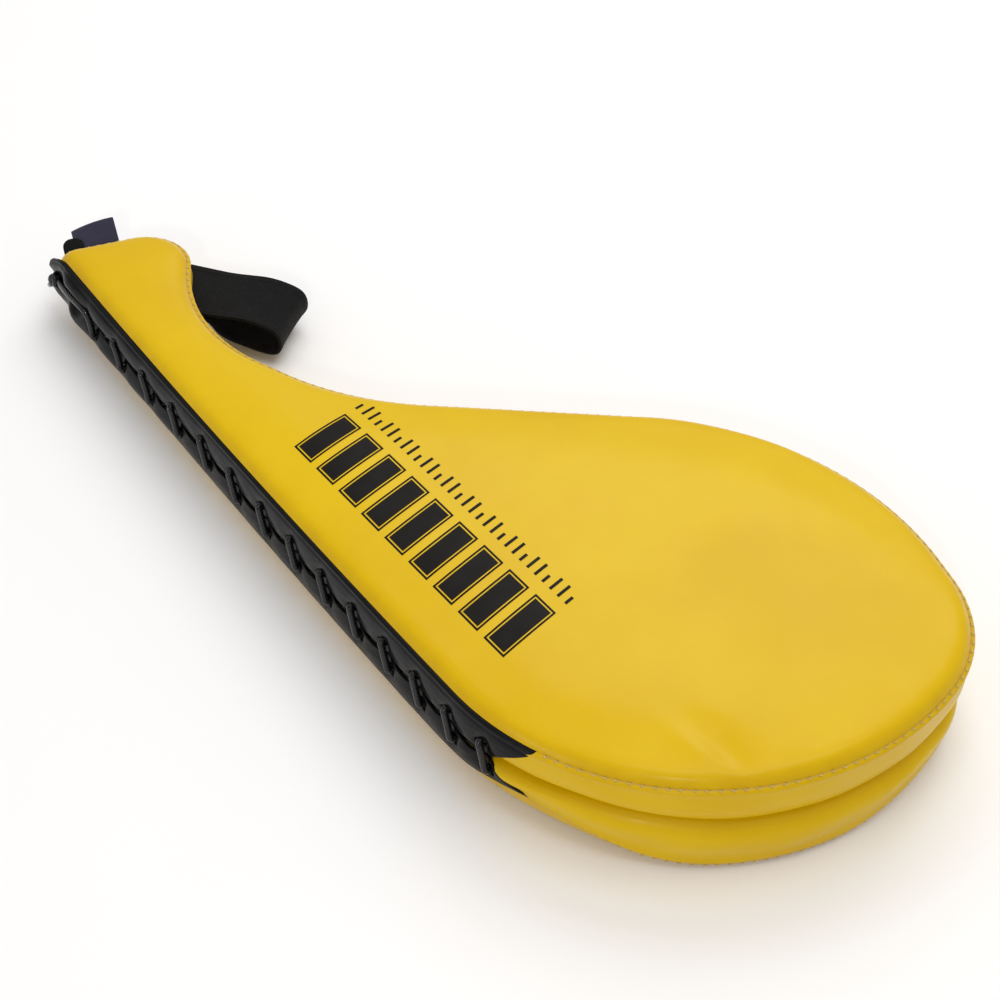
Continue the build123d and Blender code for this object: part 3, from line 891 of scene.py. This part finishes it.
def lace_knot():
    """A stopper knot of two turns with a short cut end."""
    centre = lace_spot(UPPER, KNOT_ALONG, LACE_R * 1.3, 0.2)
    outward = strip_line(UPPER, KNOT_ALONG)[1]
    out = np.array([outward[0], outward[1], 0])
    ahead = np.array([-outward[1], outward[0], 0])
    up = np.array([0, 0, 1.0])
    turns = np.linspace(0, 2 * math.pi, 13)[:-1]
    pieces = []
    for lean, radius in KNOT_TURNS:
        ring = [centre + radius * (math.cos(turn) * (ahead * math.cos(lean) + out * math.sin(lean))
                                   + math.sin(turn) * up) for turn in turns]
        pieces.append(tube(curve_path(ring + ring[:2], 4), LACE_R))
    tail = [centre, centre + out * 1.6 - up * 1.2, centre - ahead * 3.5 + out * 1.2 - up * 3.6,
            centre - ahead * 5.5 + out * 0.4 - up * 5.6]
    pieces.append(tube(curve_path(tail, 6), LACE_R * 0.92))
    return build_mesh("lace_stopper_knot", *joined(pieces))


# ---- elastic hand loop ----

LOOP_DIRECTION = math.radians(20.0)
BAND_WIDTH = 29.0
BAND_THICK = 1.4
BAND_MIDDLE = 82.0
ROOT_REACH = -119.4
FOLD_REACH = -93.4
FOLD_RADIUS = 6.8
FOLD_LOW = 5.6
ROOT_HEIGHT = 17.9
RIB_INSET = 2.6                     # a woven rib along each edge, with a groove beside it
RIB_GROOVE = 0.22
RIB_THIN = 0.12
BAND_CROWN = 0.5
FLOOR_GAP = 0.15
BAND_ALONG = np.array([math.cos(LOOP_DIRECTION), math.sin(LOOP_DIRECTION), 0])
BAND_ACROSS = np.array([-math.sin(LOOP_DIRECTION), math.cos(LOOP_DIRECTION), 0])


def band_line():
    """The middle of the elastic seen from its edge: (along, height), from tail to tail."""
    low = FOLD_LOW
    middle = low + FOLD_RADIUS
    guides = [
        (ROOT_REACH - 21, ROOT_HEIGHT + 0.9),
        (ROOT_REACH - 8, ROOT_HEIGHT + 0.9),
        (ROOT_REACH, ROOT_HEIGHT + 0.95),
        (ROOT_REACH + 8, ROOT_HEIGHT + 2.0),
        (FOLD_REACH - 9, ROOT_HEIGHT + 3.2),
        (FOLD_REACH, middle + FOLD_RADIUS + 0.6),
        (FOLD_REACH + FOLD_RADIUS * 0.8, middle + FOLD_RADIUS * 0.75),
        (FOLD_REACH + FOLD_RADIUS, middle),
        (FOLD_REACH + FOLD_RADIUS * 0.8, low + FOLD_RADIUS * 0.2),
        (FOLD_REACH, low),
        (FOLD_REACH - 9, low + 1.6),
        (ROOT_REACH + 6, ROOT_HEIGHT - 8.5),
        (ROOT_REACH + 1.5, ROOT_HEIGHT - 1.5),
        (ROOT_REACH - 4, ROOT_HEIGHT - 0.75),
        (ROOT_REACH - 21, ROOT_HEIGHT - 0.75),
    ]
    return curve_path(np.array(guides), 6)


def hand_loop():
    line = band_line()
    tangent = np.gradient(line, axis=0)
    tangent /= np.linalg.norm(tangent, axis=1)[:, None]
    across = np.linspace(-BAND_WIDTH / 2, BAND_WIDTH / 2, 45)
    past_rib = np.abs(across) - BAND_WIDTH / 2 + RIB_INSET
    relief = RIB_GROOVE * bell(past_rib, 0, 0.35) + RIB_THIN * ramp(past_rib, 0, 0.6)
    crown = BAND_CROWN * (1 - (2 * across / BAND_WIDTH) ** 2)
    free = ramp(line[:, 0], ROOT_REACH, ROOT_REACH + 14)
    offset = relief - np.outer(free, crown)
    reach = line[:, :1] - tangent[:, 1:] * offset
    rise = line[:, 1:] + tangent[:, :1] * offset
    rise = np.maximum(rise, FLOOR_GAP + BAND_THICK / 2)
    middle = (BAND_MIDDLE + across)[:, None] * BAND_ACROSS
    verts = reach[..., None] * BAND_ALONG + middle + rise[..., None] * (0, 0, 1)
    uvs = np.column_stack([np.repeat(run_lengths(line), len(across)), np.tile(across, len(line))])
    thing = build_mesh("elastic_hand_loop", verts.reshape(-1, 3), grid_faces(*verts.shape[:2]), uvs)
    return thickened(thing, BAND_THICK)


# ---- label and hang tab at the handle end ----

END_DIRECTION = math.atan2(KNOB_CORNER[1] - END_CORNER[1], KNOB_CORNER[0] - END_CORNER[0])
END_OUT = np.array([-math.sin(END_DIRECTION), math.cos(END_DIRECTION), 0])
END_SIDE = np.array([math.cos(END_DIRECTION), math.sin(END_DIRECTION), 0])
LABEL_ALONG = 18.3
LABEL_WIDTH = 18.5
LABEL_REACH = 22.0
LABEL_TILT = math.radians(20.0)
LABEL_SHEET = 0.35
LABEL_BEND = 3.0                    # it leaves the seam level, and turns up this far out
LABEL_BOW = 0.9
LABEL_TWIST = 3.6
TAB_ALONG = 8.5
TAB_WIDTH = 9.0
TAB_THICK = 1.44
TAB_BOW = 0.3
TAB_ROUND = 3.4


def end_strip(name, along, width, line, thick, bow, twist=0.0, round_end=0.0):
    """A strip from the handle's end. line is (out, up) from its edge; bow arches it across and
    twist lowers its laced side. With round_end, it narrows to a rounded tip over that length."""
    origin = np.array([*END_CORNER, 0]) + END_SIDE * along
    origin[2] = height(UPPER_INNER, origin[0])
    lengths = run_lengths(line)
    share = np.linspace(-1, 1, 25)
    rise = smooth(lengths / lengths[-1] * 2)
    verts, uvs = [], []
    for (out, up), length, free in zip(line, lengths, rise):
        left = lengths[-1] - length
        half = width / 2
        if left < round_end:
            half -= round_end * (1 - math.sqrt(max(0, 1 - ((round_end - left) / round_end) ** 2)))
        side = share * half
        reach = max(0, out) / line[:, 0].max()
        arch = bow * free * (1 - share ** 2) - twist * reach * (1 - share) / 2
        verts.append(origin + out * END_OUT + side[:, None] * END_SIDE + (up + arch)[:, None] * (0, 0, 1))
        uvs.append(np.column_stack([np.full(len(share), length), side]))
    faces = grid_faces(len(line), len(share))
    return thickened(build_mesh(name, np.concatenate(verts), faces, np.concatenate(uvs)), thick)


def woven_label():
    """A ribbon folded over at its outer end, with both ends sewn under the upper leaf."""
    along = np.array([math.cos(LABEL_TILT), math.sin(LABEL_TILT)])
    across = np.array([-along[1], along[0]])
    tip = LABEL_REACH * along + (LABEL_BEND, 0)
    guides = [
        (-6.5, -0.2), (-2, -0.2), (LABEL_BEND - 0.6, 0),
        tip * 0.35 + across * 0.5, tip * 0.7 + across * 0.3,
        tip - along + across * 0.45, tip + across * 0.2, tip + along * 0.25 - across * 0.6,
        tip - along - across * 0.72, tip * 0.7 - across * 0.7, tip * 0.35 - across * 0.4,
        (LABEL_BEND - 0.2, -0.75), (-2, -0.75), (-6.5, -0.75),
    ]
    line = curve_path(np.array(guides), 5)
    return end_strip("woven_size_label", LABEL_ALONG, LABEL_WIDTH, line, LABEL_SHEET, LABEL_BOW, LABEL_TWIST)


def hang_tab():
    guides = [(-3.5, -1.9), (1.5, -1.9), (4.5, -0.9), (8.5, 0.6), (13.0, 3.2), (16.6, 5.6)]
    line = curve_path(guides, 7)
    return end_strip("webbing_hang_tab", TAB_ALONG, TAB_WIDTH, line, TAB_THICK, TAB_BOW, round_end=TAB_ROUND)


# ---- printed motif on the upper face ----

PRINT_START = np.array([88.4, -62.5])
PRINT_DIRECTION = np.array([-0.9645, 0.2640])
PRINT_ACROSS = np.array([0.2640, 0.9645])
PRINT_LENGTH = 134.0
PRINT_WIDTH = 25.0
BARS = 9
BAR_GAP = 3.6
BAR_LEAN = 4.2
BORDER = 0.8
INLINE = 0.55
TICK_GAP = 5.0
TICK_TALL = 6.2
TICK_WIDE = 1.3
PRINT_MARGIN = 4.0                  # the ticks stop this far from the panel's edge
TICKS = 34
TICK_ROW = 146.0                    # how long their row is
SHORT_TICK = 0.6                    # every third is this much of the others
PATCH_PITCH = 1.1
INK_THICK = 0.07


def printed_patch(surface, corners):
    """A thin patch between four plan corners, laid on a surface."""
    corners = np.array(corners, float)
    rows = max(2, int(np.linalg.norm(corners[1] - corners[0]) / PATCH_PITCH) + 1)
    columns = max(2, int(np.linalg.norm(corners[3] - corners[0]) / PATCH_PITCH) + 1)
    verts = []
    for down in np.linspace(0, 1, rows):
        left = corners[0] * (1 - down) + corners[1] * down
        right = corners[3] * (1 - down) + corners[2] * down
        for over in np.linspace(0, 1, columns):
            x, y = left * (1 - over) + right * over
            hit = surface.ray_cast(Vector((x, y, 100)), Vector((0, 0, -1)))[0]
            verts.append((x, y, hit.z + INK_THICK))
    return verts, grid_faces(rows, columns, flip=True), [(0, 0)] * len(verts)


def printed_motif(panel):
    """Slanted bars with a thin inline, and a row of small ticks beside them."""
    surface = BVHTree.FromPolygons(in_millimetres(coordinates(panel.data)).tolist(),
                                   [tuple(face.vertices) for face in panel.data.polygons])

    def place(along, across):
        lean = across * BAR_LEAN / PRINT_WIDTH
        return PRINT_START + PRINT_DIRECTION * (along + lean) + PRINT_ACROSS * across

    def leaning(first, last, low, high):
        return [place(first, low), place(first, high), place(last, high), place(last, low)]

    pieces = []
    pitch = (PRINT_LENGTH - BAR_LEAN + BAR_GAP) / BARS
    inner = BORDER + INLINE
    for first in np.arange(BARS) * pitch:
        last = first + pitch - BAR_GAP
        for strokes in [
            (first, first + BORDER, 0, PRINT_WIDTH),
            (last - BORDER, last, 0, PRINT_WIDTH),
            (first + BORDER, last - BORDER, 0, BORDER),
            (first + BORDER, last - BORDER, PRINT_WIDTH - BORDER, PRINT_WIDTH),
            (first + inner, last - inner, inner, PRINT_WIDTH - inner),
        ]:
            pieces.append(printed_patch(surface, leaning(*strokes)))
    low = PRINT_WIDTH + TICK_GAP
    for number in range(TICKS):
        first = number * TICK_ROW / TICKS
        tall = TICK_TALL if number % 3 else TICK_TALL * SHORT_TICK
        corners = np.array(leaning(first, first + TICK_WIDE, low, low + tall))
        if UPPER.outline.inside_distance(corners).min() > PRINT_MARGIN:
            pieces.append(printed_patch(surface, corners))
    return build_mesh("printed_bars", *joined(pieces))


# ---- materials ----

class Shader:
    """A principled material, with short calls to add the nodes that feed it."""

    def __init__(self, name, **constants):
        self.material = bpy.data.materials.new(name)
        self.material.use_nodes = True
        self.nodes = self.material.node_tree.nodes
        self.links = self.material.node_tree.links
        self.principled = self.nodes["Principled BSDF"]
        for key, value in constants.items():
            self.principled.inputs[key.replace("_", " ")].default_value = value
        self.place = self.add("ShaderNodeTexCoord").outputs["Object"]
        self.thread = self.add("ShaderNodeUVMap", uv_map="thread").outputs["UV"]

    def add(self, kind, inputs=(), **settings):
        node = self.nodes.new(kind)
        for key, value in settings.items():
            setattr(node, key, value)
        for key, value in dict(inputs).items():
            if isinstance(value, bpy.types.NodeSocket):
                self.links.new(value, node.inputs[key])
            else:
                node.inputs[key].default_value = value
        return node

    def noise(self, scale, detail=3.0, roughness=0.5, vector=None):
        inputs = {"Vector": vector or self.place, "Scale": scale, "Detail": detail, "Roughness": roughness}
        return self.add("ShaderNodeTexNoise", inputs).outputs["Fac"]

    def cells(self, scale, feature="DISTANCE_TO_EDGE"):
        inputs = {"Vector": self.place, "Scale": scale}
        return self.add("ShaderNodeTexVoronoi", inputs, feature=feature).outputs["Distance"]

    def spread(self, value, low, high, to_low=0.0, to_high=1.0):
        inputs = {"Value": value, "From Min": low, "From Max": high, "To Min": to_low, "To Max": to_high}
        return self.add("ShaderNodeMapRange", inputs).outputs["Result"]

    def maths(self, operation, first, second=0.0):
        return self.add("ShaderNodeMath", {0: first, 1: second}, operation=operation).outputs[0]

    def times(self, first, second):
        return self.maths("MULTIPLY", first, second)

    def plus(self, first, second):
        return self.maths("ADD", first, second)

    def sine(self, value, pitch=1.0):
        return self.maths("SINE", self.times(value, 2 * math.pi / pitch))

    def mix(self, share, first, second):
        """Colours are (r, g, b) or sockets."""
        first, second = (value if isinstance(value, bpy.types.NodeSocket) else (*value, 1.0)
                         for value in (first, second))
        inputs = {"Factor": share, 6: first, 7: second}
        return self.add("ShaderNodeMix", inputs, data_type="RGBA").outputs[2]

    def attribute(self, name):
        return self.add("ShaderNodeAttribute", attribute_name=name).outputs["Fac"]

    def surface(self, tint, dark, light, rough, low, high):
        """A colour from dark to light by tint, and a roughness from low to high by a noise."""
        self.feed("Base Color", self.mix(tint, dark, light))
        self.feed("Roughness", self.spread(rough, 0.3, 0.7, low, high))

    def uv(self):
        parts = self.add("ShaderNodeSeparateXYZ", {"Vector": self.thread}).outputs
        return parts["X"], parts["Y"]

    def bump(self, *layers):
        """layers are (height, strength, distance in metres), from coarse to fine."""
        normal = None
        for level, strength, distance in layers:
            inputs = {"Height": level, "Strength": strength, "Distance": distance}
            if normal:
                inputs["Normal"] = normal
            normal = self.add("ShaderNodeBump", inputs).outputs["Normal"]
        self.links.new(normal, self.principled.inputs["Normal"])

    def feed(self, socket, value):
        self.links.new(value, self.principled.inputs[socket])


def coated_cloth(name, light, deep, edge, rough, grain, coat):
    """Polyurethane-coated cloth: pebble grain, soft creases, scuffs, and painted shade in the edge colour
    along its seams and at the gap's edges, stronger in patches.
    """
    shader = Shader(name, Coat_Weight=coat, Coat_Roughness=0.2, Specular_IOR_Level=0.13)
    tint = shader.mix(shader.spread(shader.noise(14, 4, 0.55), 0.35, 0.7), light, deep)
    # Painted shade: towards the seams and the gap's edges the cover darkens to the edge colour, by the edge
    # attribute, more in some patches than others.
    patchiness = shader.spread(shader.noise(120, 5, 0.6), 0.3, 0.7, 0.35, 1.0)
    tint = shader.mix(shader.times(shader.times(shader.attribute("edge"), patchiness), 0.55), tint, edge)
    scuff = shader.spread(shader.noise(260, 6, 0.7), 0.66, 0.78)
    shader.feed("Base Color", shader.mix(shader.times(scuff, 0.10), tint, deep))
    pebble = shader.spread(shader.cells(1150), 0.0, 0.32)
    matt = shader.spread(shader.noise(38, 5, 0.6), 0.3, 0.7, rough - 0.05, rough + 0.07)
    shader.feed("Roughness", shader.maths("SUBTRACT", matt, shader.times(pebble, 0.04)))
    shader.bump((shader.noise(46), 0.10, 0.0022), (pebble, grain, 0.00006),
                (shader.noise(2600, 2), grain * 0.6, 0.00003))
    return shader.material


def glossy_strip():
    """Black coated cloth with lengthwise creases, a high gloss, and a painted highlight along its turned-in
    sewn edge.
    """
    shader = Shader("strip_black_gloss", Coat_Weight=0.16, Coat_Roughness=0.08, Specular_IOR_Level=0.05)
    tint = shader.mix(shader.noise(60, 4), (0.0008, 0.0008, 0.0009), (0.003, 0.003, 0.0035))
    # Painted highlight: lighter near the sewn edge, where the strip folds in.
    rim = shader.spread(shader.attribute("edge"), 0.9, 1.0)
    shader.feed("Base Color", shader.mix(shader.times(rim, 0.5), tint, (0.014, 0.014, 0.015)))
    shader.feed("Roughness", shader.spread(shader.noise(180, 5, 0.6), 0.3, 0.75, 0.26, 0.42))
    stretch = {"Vector": shader.place, "Rotation": (0, 0, math.radians(17)), "Scale": (0.22, 1.0, 1.0)}
    creases = shader.noise(420, 4, 0.55, shader.add("ShaderNodeMapping", stretch).outputs[0])
    shader.bump((creases, 0.35, 0.0007), (shader.cells(1500), 0.12, 0.00006))
    return shader.material


def twisted_thread(name, colour, dark, pitch):
    shader = Shader(name, Sheen_Weight=0.3, Sheen_Roughness=0.4)
    along, around = shader.uv()
    ply = shader.sine(shader.plus(shader.times(along, 1 / pitch), shader.times(around, 2)))
    # Painted shade: the thread is darker in the grooves between its plies.
    shader.surface(shader.spread(ply, -1, 1), dark, colour, shader.noise(900), 0.45, 0.65)
    shader.bump((ply, 0.6, 0.00012), (shader.noise(5200), 0.4, 0.00004))
    return shader.material


def waxed_lace():
    """A round braided cord, waxed to a shine."""
    shader = Shader("lace_waxed_black", Coat_Weight=0.5, Coat_Roughness=0.03, Specular_IOR_Level=0.12)
    along, around = shader.uv()
    strand, turn = shader.times(along, 0.62), shader.times(around, 4)
    right = shader.sine(shader.plus(strand, turn))
    left = shader.sine(shader.maths("SUBTRACT", strand, turn))
    braid = shader.maths("MAXIMUM", right, left)
    # Painted shade: darker in the grooves between the braid's strands.
    shader.surface(shader.spread(braid, -1, 1), (0.002, 0.002, 0.002), (0.012, 0.012, 0.013),
                   shader.noise(700), 0.16, 0.32)
    shader.bump((braid, 0.45, 0.00016), (shader.noise(4200), 0.25, 0.00003))
    return shader.material


def woven(name, light, dark, warp, weft, rough, sheen, bump=0.00016):
    """Ribbed weave of warp and weft threads, with fuzz, worn patches, and painted shade in the grooves
    between the threads.
    """
    shader = Shader(name, Sheen_Weight=sheen, Sheen_Roughness=0.45, Specular_IOR_Level=0.15)
    along, across = shader.uv()
    rib = shader.sine(across, weft)
    lift = shader.plus(shader.times(shader.sine(along, warp), rib), shader.times(rib, 0.5))
    patchiness = shader.spread(shader.noise(90, 5), 0.4, 0.7, 0, 0.2)
    # Painted shade: lighter on the raised threads, darker in the grooves; the lighter patches are wear.
    tint = shader.plus(shader.spread(lift, -1.5, 1.5, 0, 0.8), patchiness)
    shader.surface(tint, dark, light, shader.noise(500), rough - 0.06, rough + 0.08)
    shader.bump((lift, 0.8, bump), (shader.noise(6000, 4), 0.5, 0.00008))
    return shader.material


def printed_ink():
    shader = Shader("print_black_ink", Coat_Weight=0.02, Coat_Roughness=0.3, Specular_IOR_Level=0.08)
    shader.surface(shader.noise(300, 5), (0.004, 0.003, 0.002), (0.009, 0.007, 0.005),
                   shader.noise(150, 4), 0.34, 0.5)
    shader.bump((shader.cells(1150), 0.15, 0.00005), (shader.noise(2600), 0.1, 0.00003))
    return shader.material


def foam():
    shader = Shader("filling_foam")
    shader.surface(shader.noise(700, 6), (0.50, 0.48, 0.43), (0.72, 0.70, 0.64), shader.noise(900), 0.8, 0.95)
    shader.bump((shader.cells(900, "F1"), 0.8, 0.0005))
    return shader.material


def stiffener_board():
    shader = Shader("stiffener_fibreboard")
    shader.surface(shader.noise(240, 6), (0.10, 0.065, 0.035), (0.19, 0.13, 0.08),
                   shader.noise(400), 0.5, 0.7)
    shader.bump((shader.noise(1600, 5), 0.4, 0.0002))
    return shader.material


def studio_floor():
    shader = Shader("floor_pale_paper")
    shader.surface(shader.noise(3), (0.93, 0.92, 0.92), (0.96, 0.955, 0.955), shader.noise(30), 0.55, 0.65)
    shader.bump((shader.noise(1400, 3), 0.15, 0.0001))
    return shader.material


# Its third colour is the darker orange of the painted seam shade.
YELLOW = coated_cloth("cover_yellow_coated", (0.735, 0.490, 0.001), (0.68, 0.425, 0.001),
                      (0.53, 0.28, 0.001), rough=0.34, grain=0.24, coat=0.09)
STRIP = glossy_strip()
THREAD = twisted_thread("thread_pale", (0.80, 0.63, 0.20), (0.50, 0.32, 0.05), 0.7)
LACE = waxed_lace()
ELASTIC = woven("elastic_black", (0.007, 0.007, 0.0075), (0.002, 0.002, 0.002), 1.1, 0.9, 0.75, 0.02)
LABEL = woven("label_navy", (0.050, 0.047, 0.085), (0.018, 0.017, 0.036), 0.5, 0.45, 0.6, 0.05, 0.00008)
WEBBING = woven("webbing_black", (0.006, 0.006, 0.006), (0.002, 0.002, 0.002), 1.6, 1.2, 0.7, 0.02)
INK = printed_ink()
FOAM = foam()
STIFFENER = stiffener_board()


# ---- put together ----

def finish_piece(thing, material, slot, *nodes, body=None):
    """Gives a piece its material, hides the CAD nodes it stands for and attaches it to its body. slot is not
    used.
    """
    thing.data.materials.clear()
    thing.data.materials.append(material)
    if nodes:
        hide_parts(*nodes)
    if body:
        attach(thing, body)
    return thing


def build_leaf(leaf):
    name = leaf.name + "_"
    swell = swell_of(leaf)

    def finish(thing, material, slot, node):
        return finish_piece(thing, material, slot, name + node, body=leaf.body)

    panel = finish(face_panel(leaf, swell), YELLOW, "cover", "face_panel")
    side = finish(gusset(leaf, swell), YELLOW, "cover", "gusset")
    finish(inner_panel(leaf), YELLOW, "cover", "inner_panel")
    finish(foam_block(leaf, name + "impact_core", *IMPACT_FOAM), FOAM, "foam", "impact_foam")
    finish(foam_block(leaf, name + "backing_core", *BACKING_FOAM), FOAM, "foam", "backing_foam")
    finish(lace_strip(leaf), STRIP, "strip", "lace_strip")
    finish(seam_stitches(leaf), THREAD, "thread", "seam_thread")
    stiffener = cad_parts[name + "handle_stiffener"]
    stiffener.data.materials.clear()
    stiffener.data.materials.append(STIFFENER)
    return panel


def build_lace():
    cord = finish_piece(lace(), LACE, "lace", "lace")
    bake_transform(cord)
    finish_piece(lace_knot(), LACE, "lace", "lace_knot", body="lower_leaf")


def build_hand_loop():
    loop = hand_loop()
    loop.data = evaluated_mesh(loop)
    loop.modifiers.clear()
    finish_piece(loop, ELASTIC, "elastic", "hand_loop", "hand_loop_tail")
    root = BAND_ALONG * (ROOT_REACH + 1) + BAND_ACROSS * BAND_MIDDLE + (0, 0, ROOT_HEIGHT)
    root = Vector(in_frame(root))
    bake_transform(loop)


def build_end_pieces():
    label = finish_piece(woven_label(), LABEL, "label", "woven_label", body="upper_leaf")
    finish_piece(hang_tab(), WEBBING, "webbing", "hang_tab", body="upper_leaf")


FLOOR_SIDE = 6.0                    # metres, as are the places below
FLOOR_DROP = 0.0002                 # the stage floor lies just under the part
WORLD_STRENGTH = 0.55
LENS = 72                           # millimetres, as is the sensor's width
SENSOR = 36
EYE = (0.3554, -0.39765, 0.5464)
EYE_TILT = math.radians(45)
EYE_TURN = math.radians(38.5)


def area_light(name, place, aim, size, power, colour):
    data = bpy.data.lights.new(name, "AREA")
    data.shape = "RECTANGLE"
    data.size, data.size_y = size
    data.energy = power
    data.color = colour
    light = bpy.data.objects.new(name, data)
    light.location = place
    light.rotation_euler = (Vector(aim) - Vector(place)).to_track_quat("-Z", "Y").to_euler()
    bpy.context.scene.collection.objects.link(light)


def studio():
    """A pale floor under soft light, seen from above the laced side."""
    corners = np.array([(-1, -1, 0), (1, -1, 0), (1, 1, 0), (-1, 1, 0)])
    floor = build_mesh("studio_floor", corners * FLOOR_SIDE / MM / 2, [(0, 1, 2, 3)])
    floor.location.z = -FLOOR_DROP
    floor.data.materials.append(studio_floor())
    world = bpy.data.worlds.new("studio")
    world.use_nodes = True
    backdrop = world.node_tree.nodes["Background"]
    backdrop.inputs["Color"].default_value = (1.0, 0.995, 0.99, 1)
    backdrop.inputs["Strength"].default_value = WORLD_STRENGTH
    bpy.context.scene.world = world
    area_light("softbox_behind", (-0.35, 0.9, 1.15), (0, 0, 0), (1.1, 0.8), 8, (1.0, 0.99, 0.97))
    area_light("softbox_above", (0.3, 0.1, 1.5), (0, 0, 0), (0.9, 0.9), 6, (1.0, 1.0, 1.0))
    area_light("low_strip_light", (-0.15, -1.1, 0.30), (0, 0, 0.03), (0.45, 0.10), 1.1, (1.0, 0.98, 0.96))
    area_light("small_lamp", (0.62, -0.85, 0.80), (0, 0, 0), (0.06, 0.06), 1.5, (1.0, 0.98, 0.95))


def camera():
    data = bpy.data.cameras.new("camera")
    data.lens = LENS
    data.sensor_width = SENSOR
    eye = bpy.data.objects.new("camera", data)
    eye.location = EYE
    eye.rotation_euler = (EYE_TILT, 0, EYE_TURN)
    bpy.context.scene.collection.objects.link(eye)
    bpy.context.scene.camera = eye


bpy.context.scene.view_settings.view_transform = "Standard"
camera()
studio()
build_leaf(LOWER)
upper_panel = build_leaf(UPPER)
finish_piece(printed_motif(upper_panel), INK, "cover", body="upper_leaf")
build_lace()
build_hand_loop()
build_end_pieces()
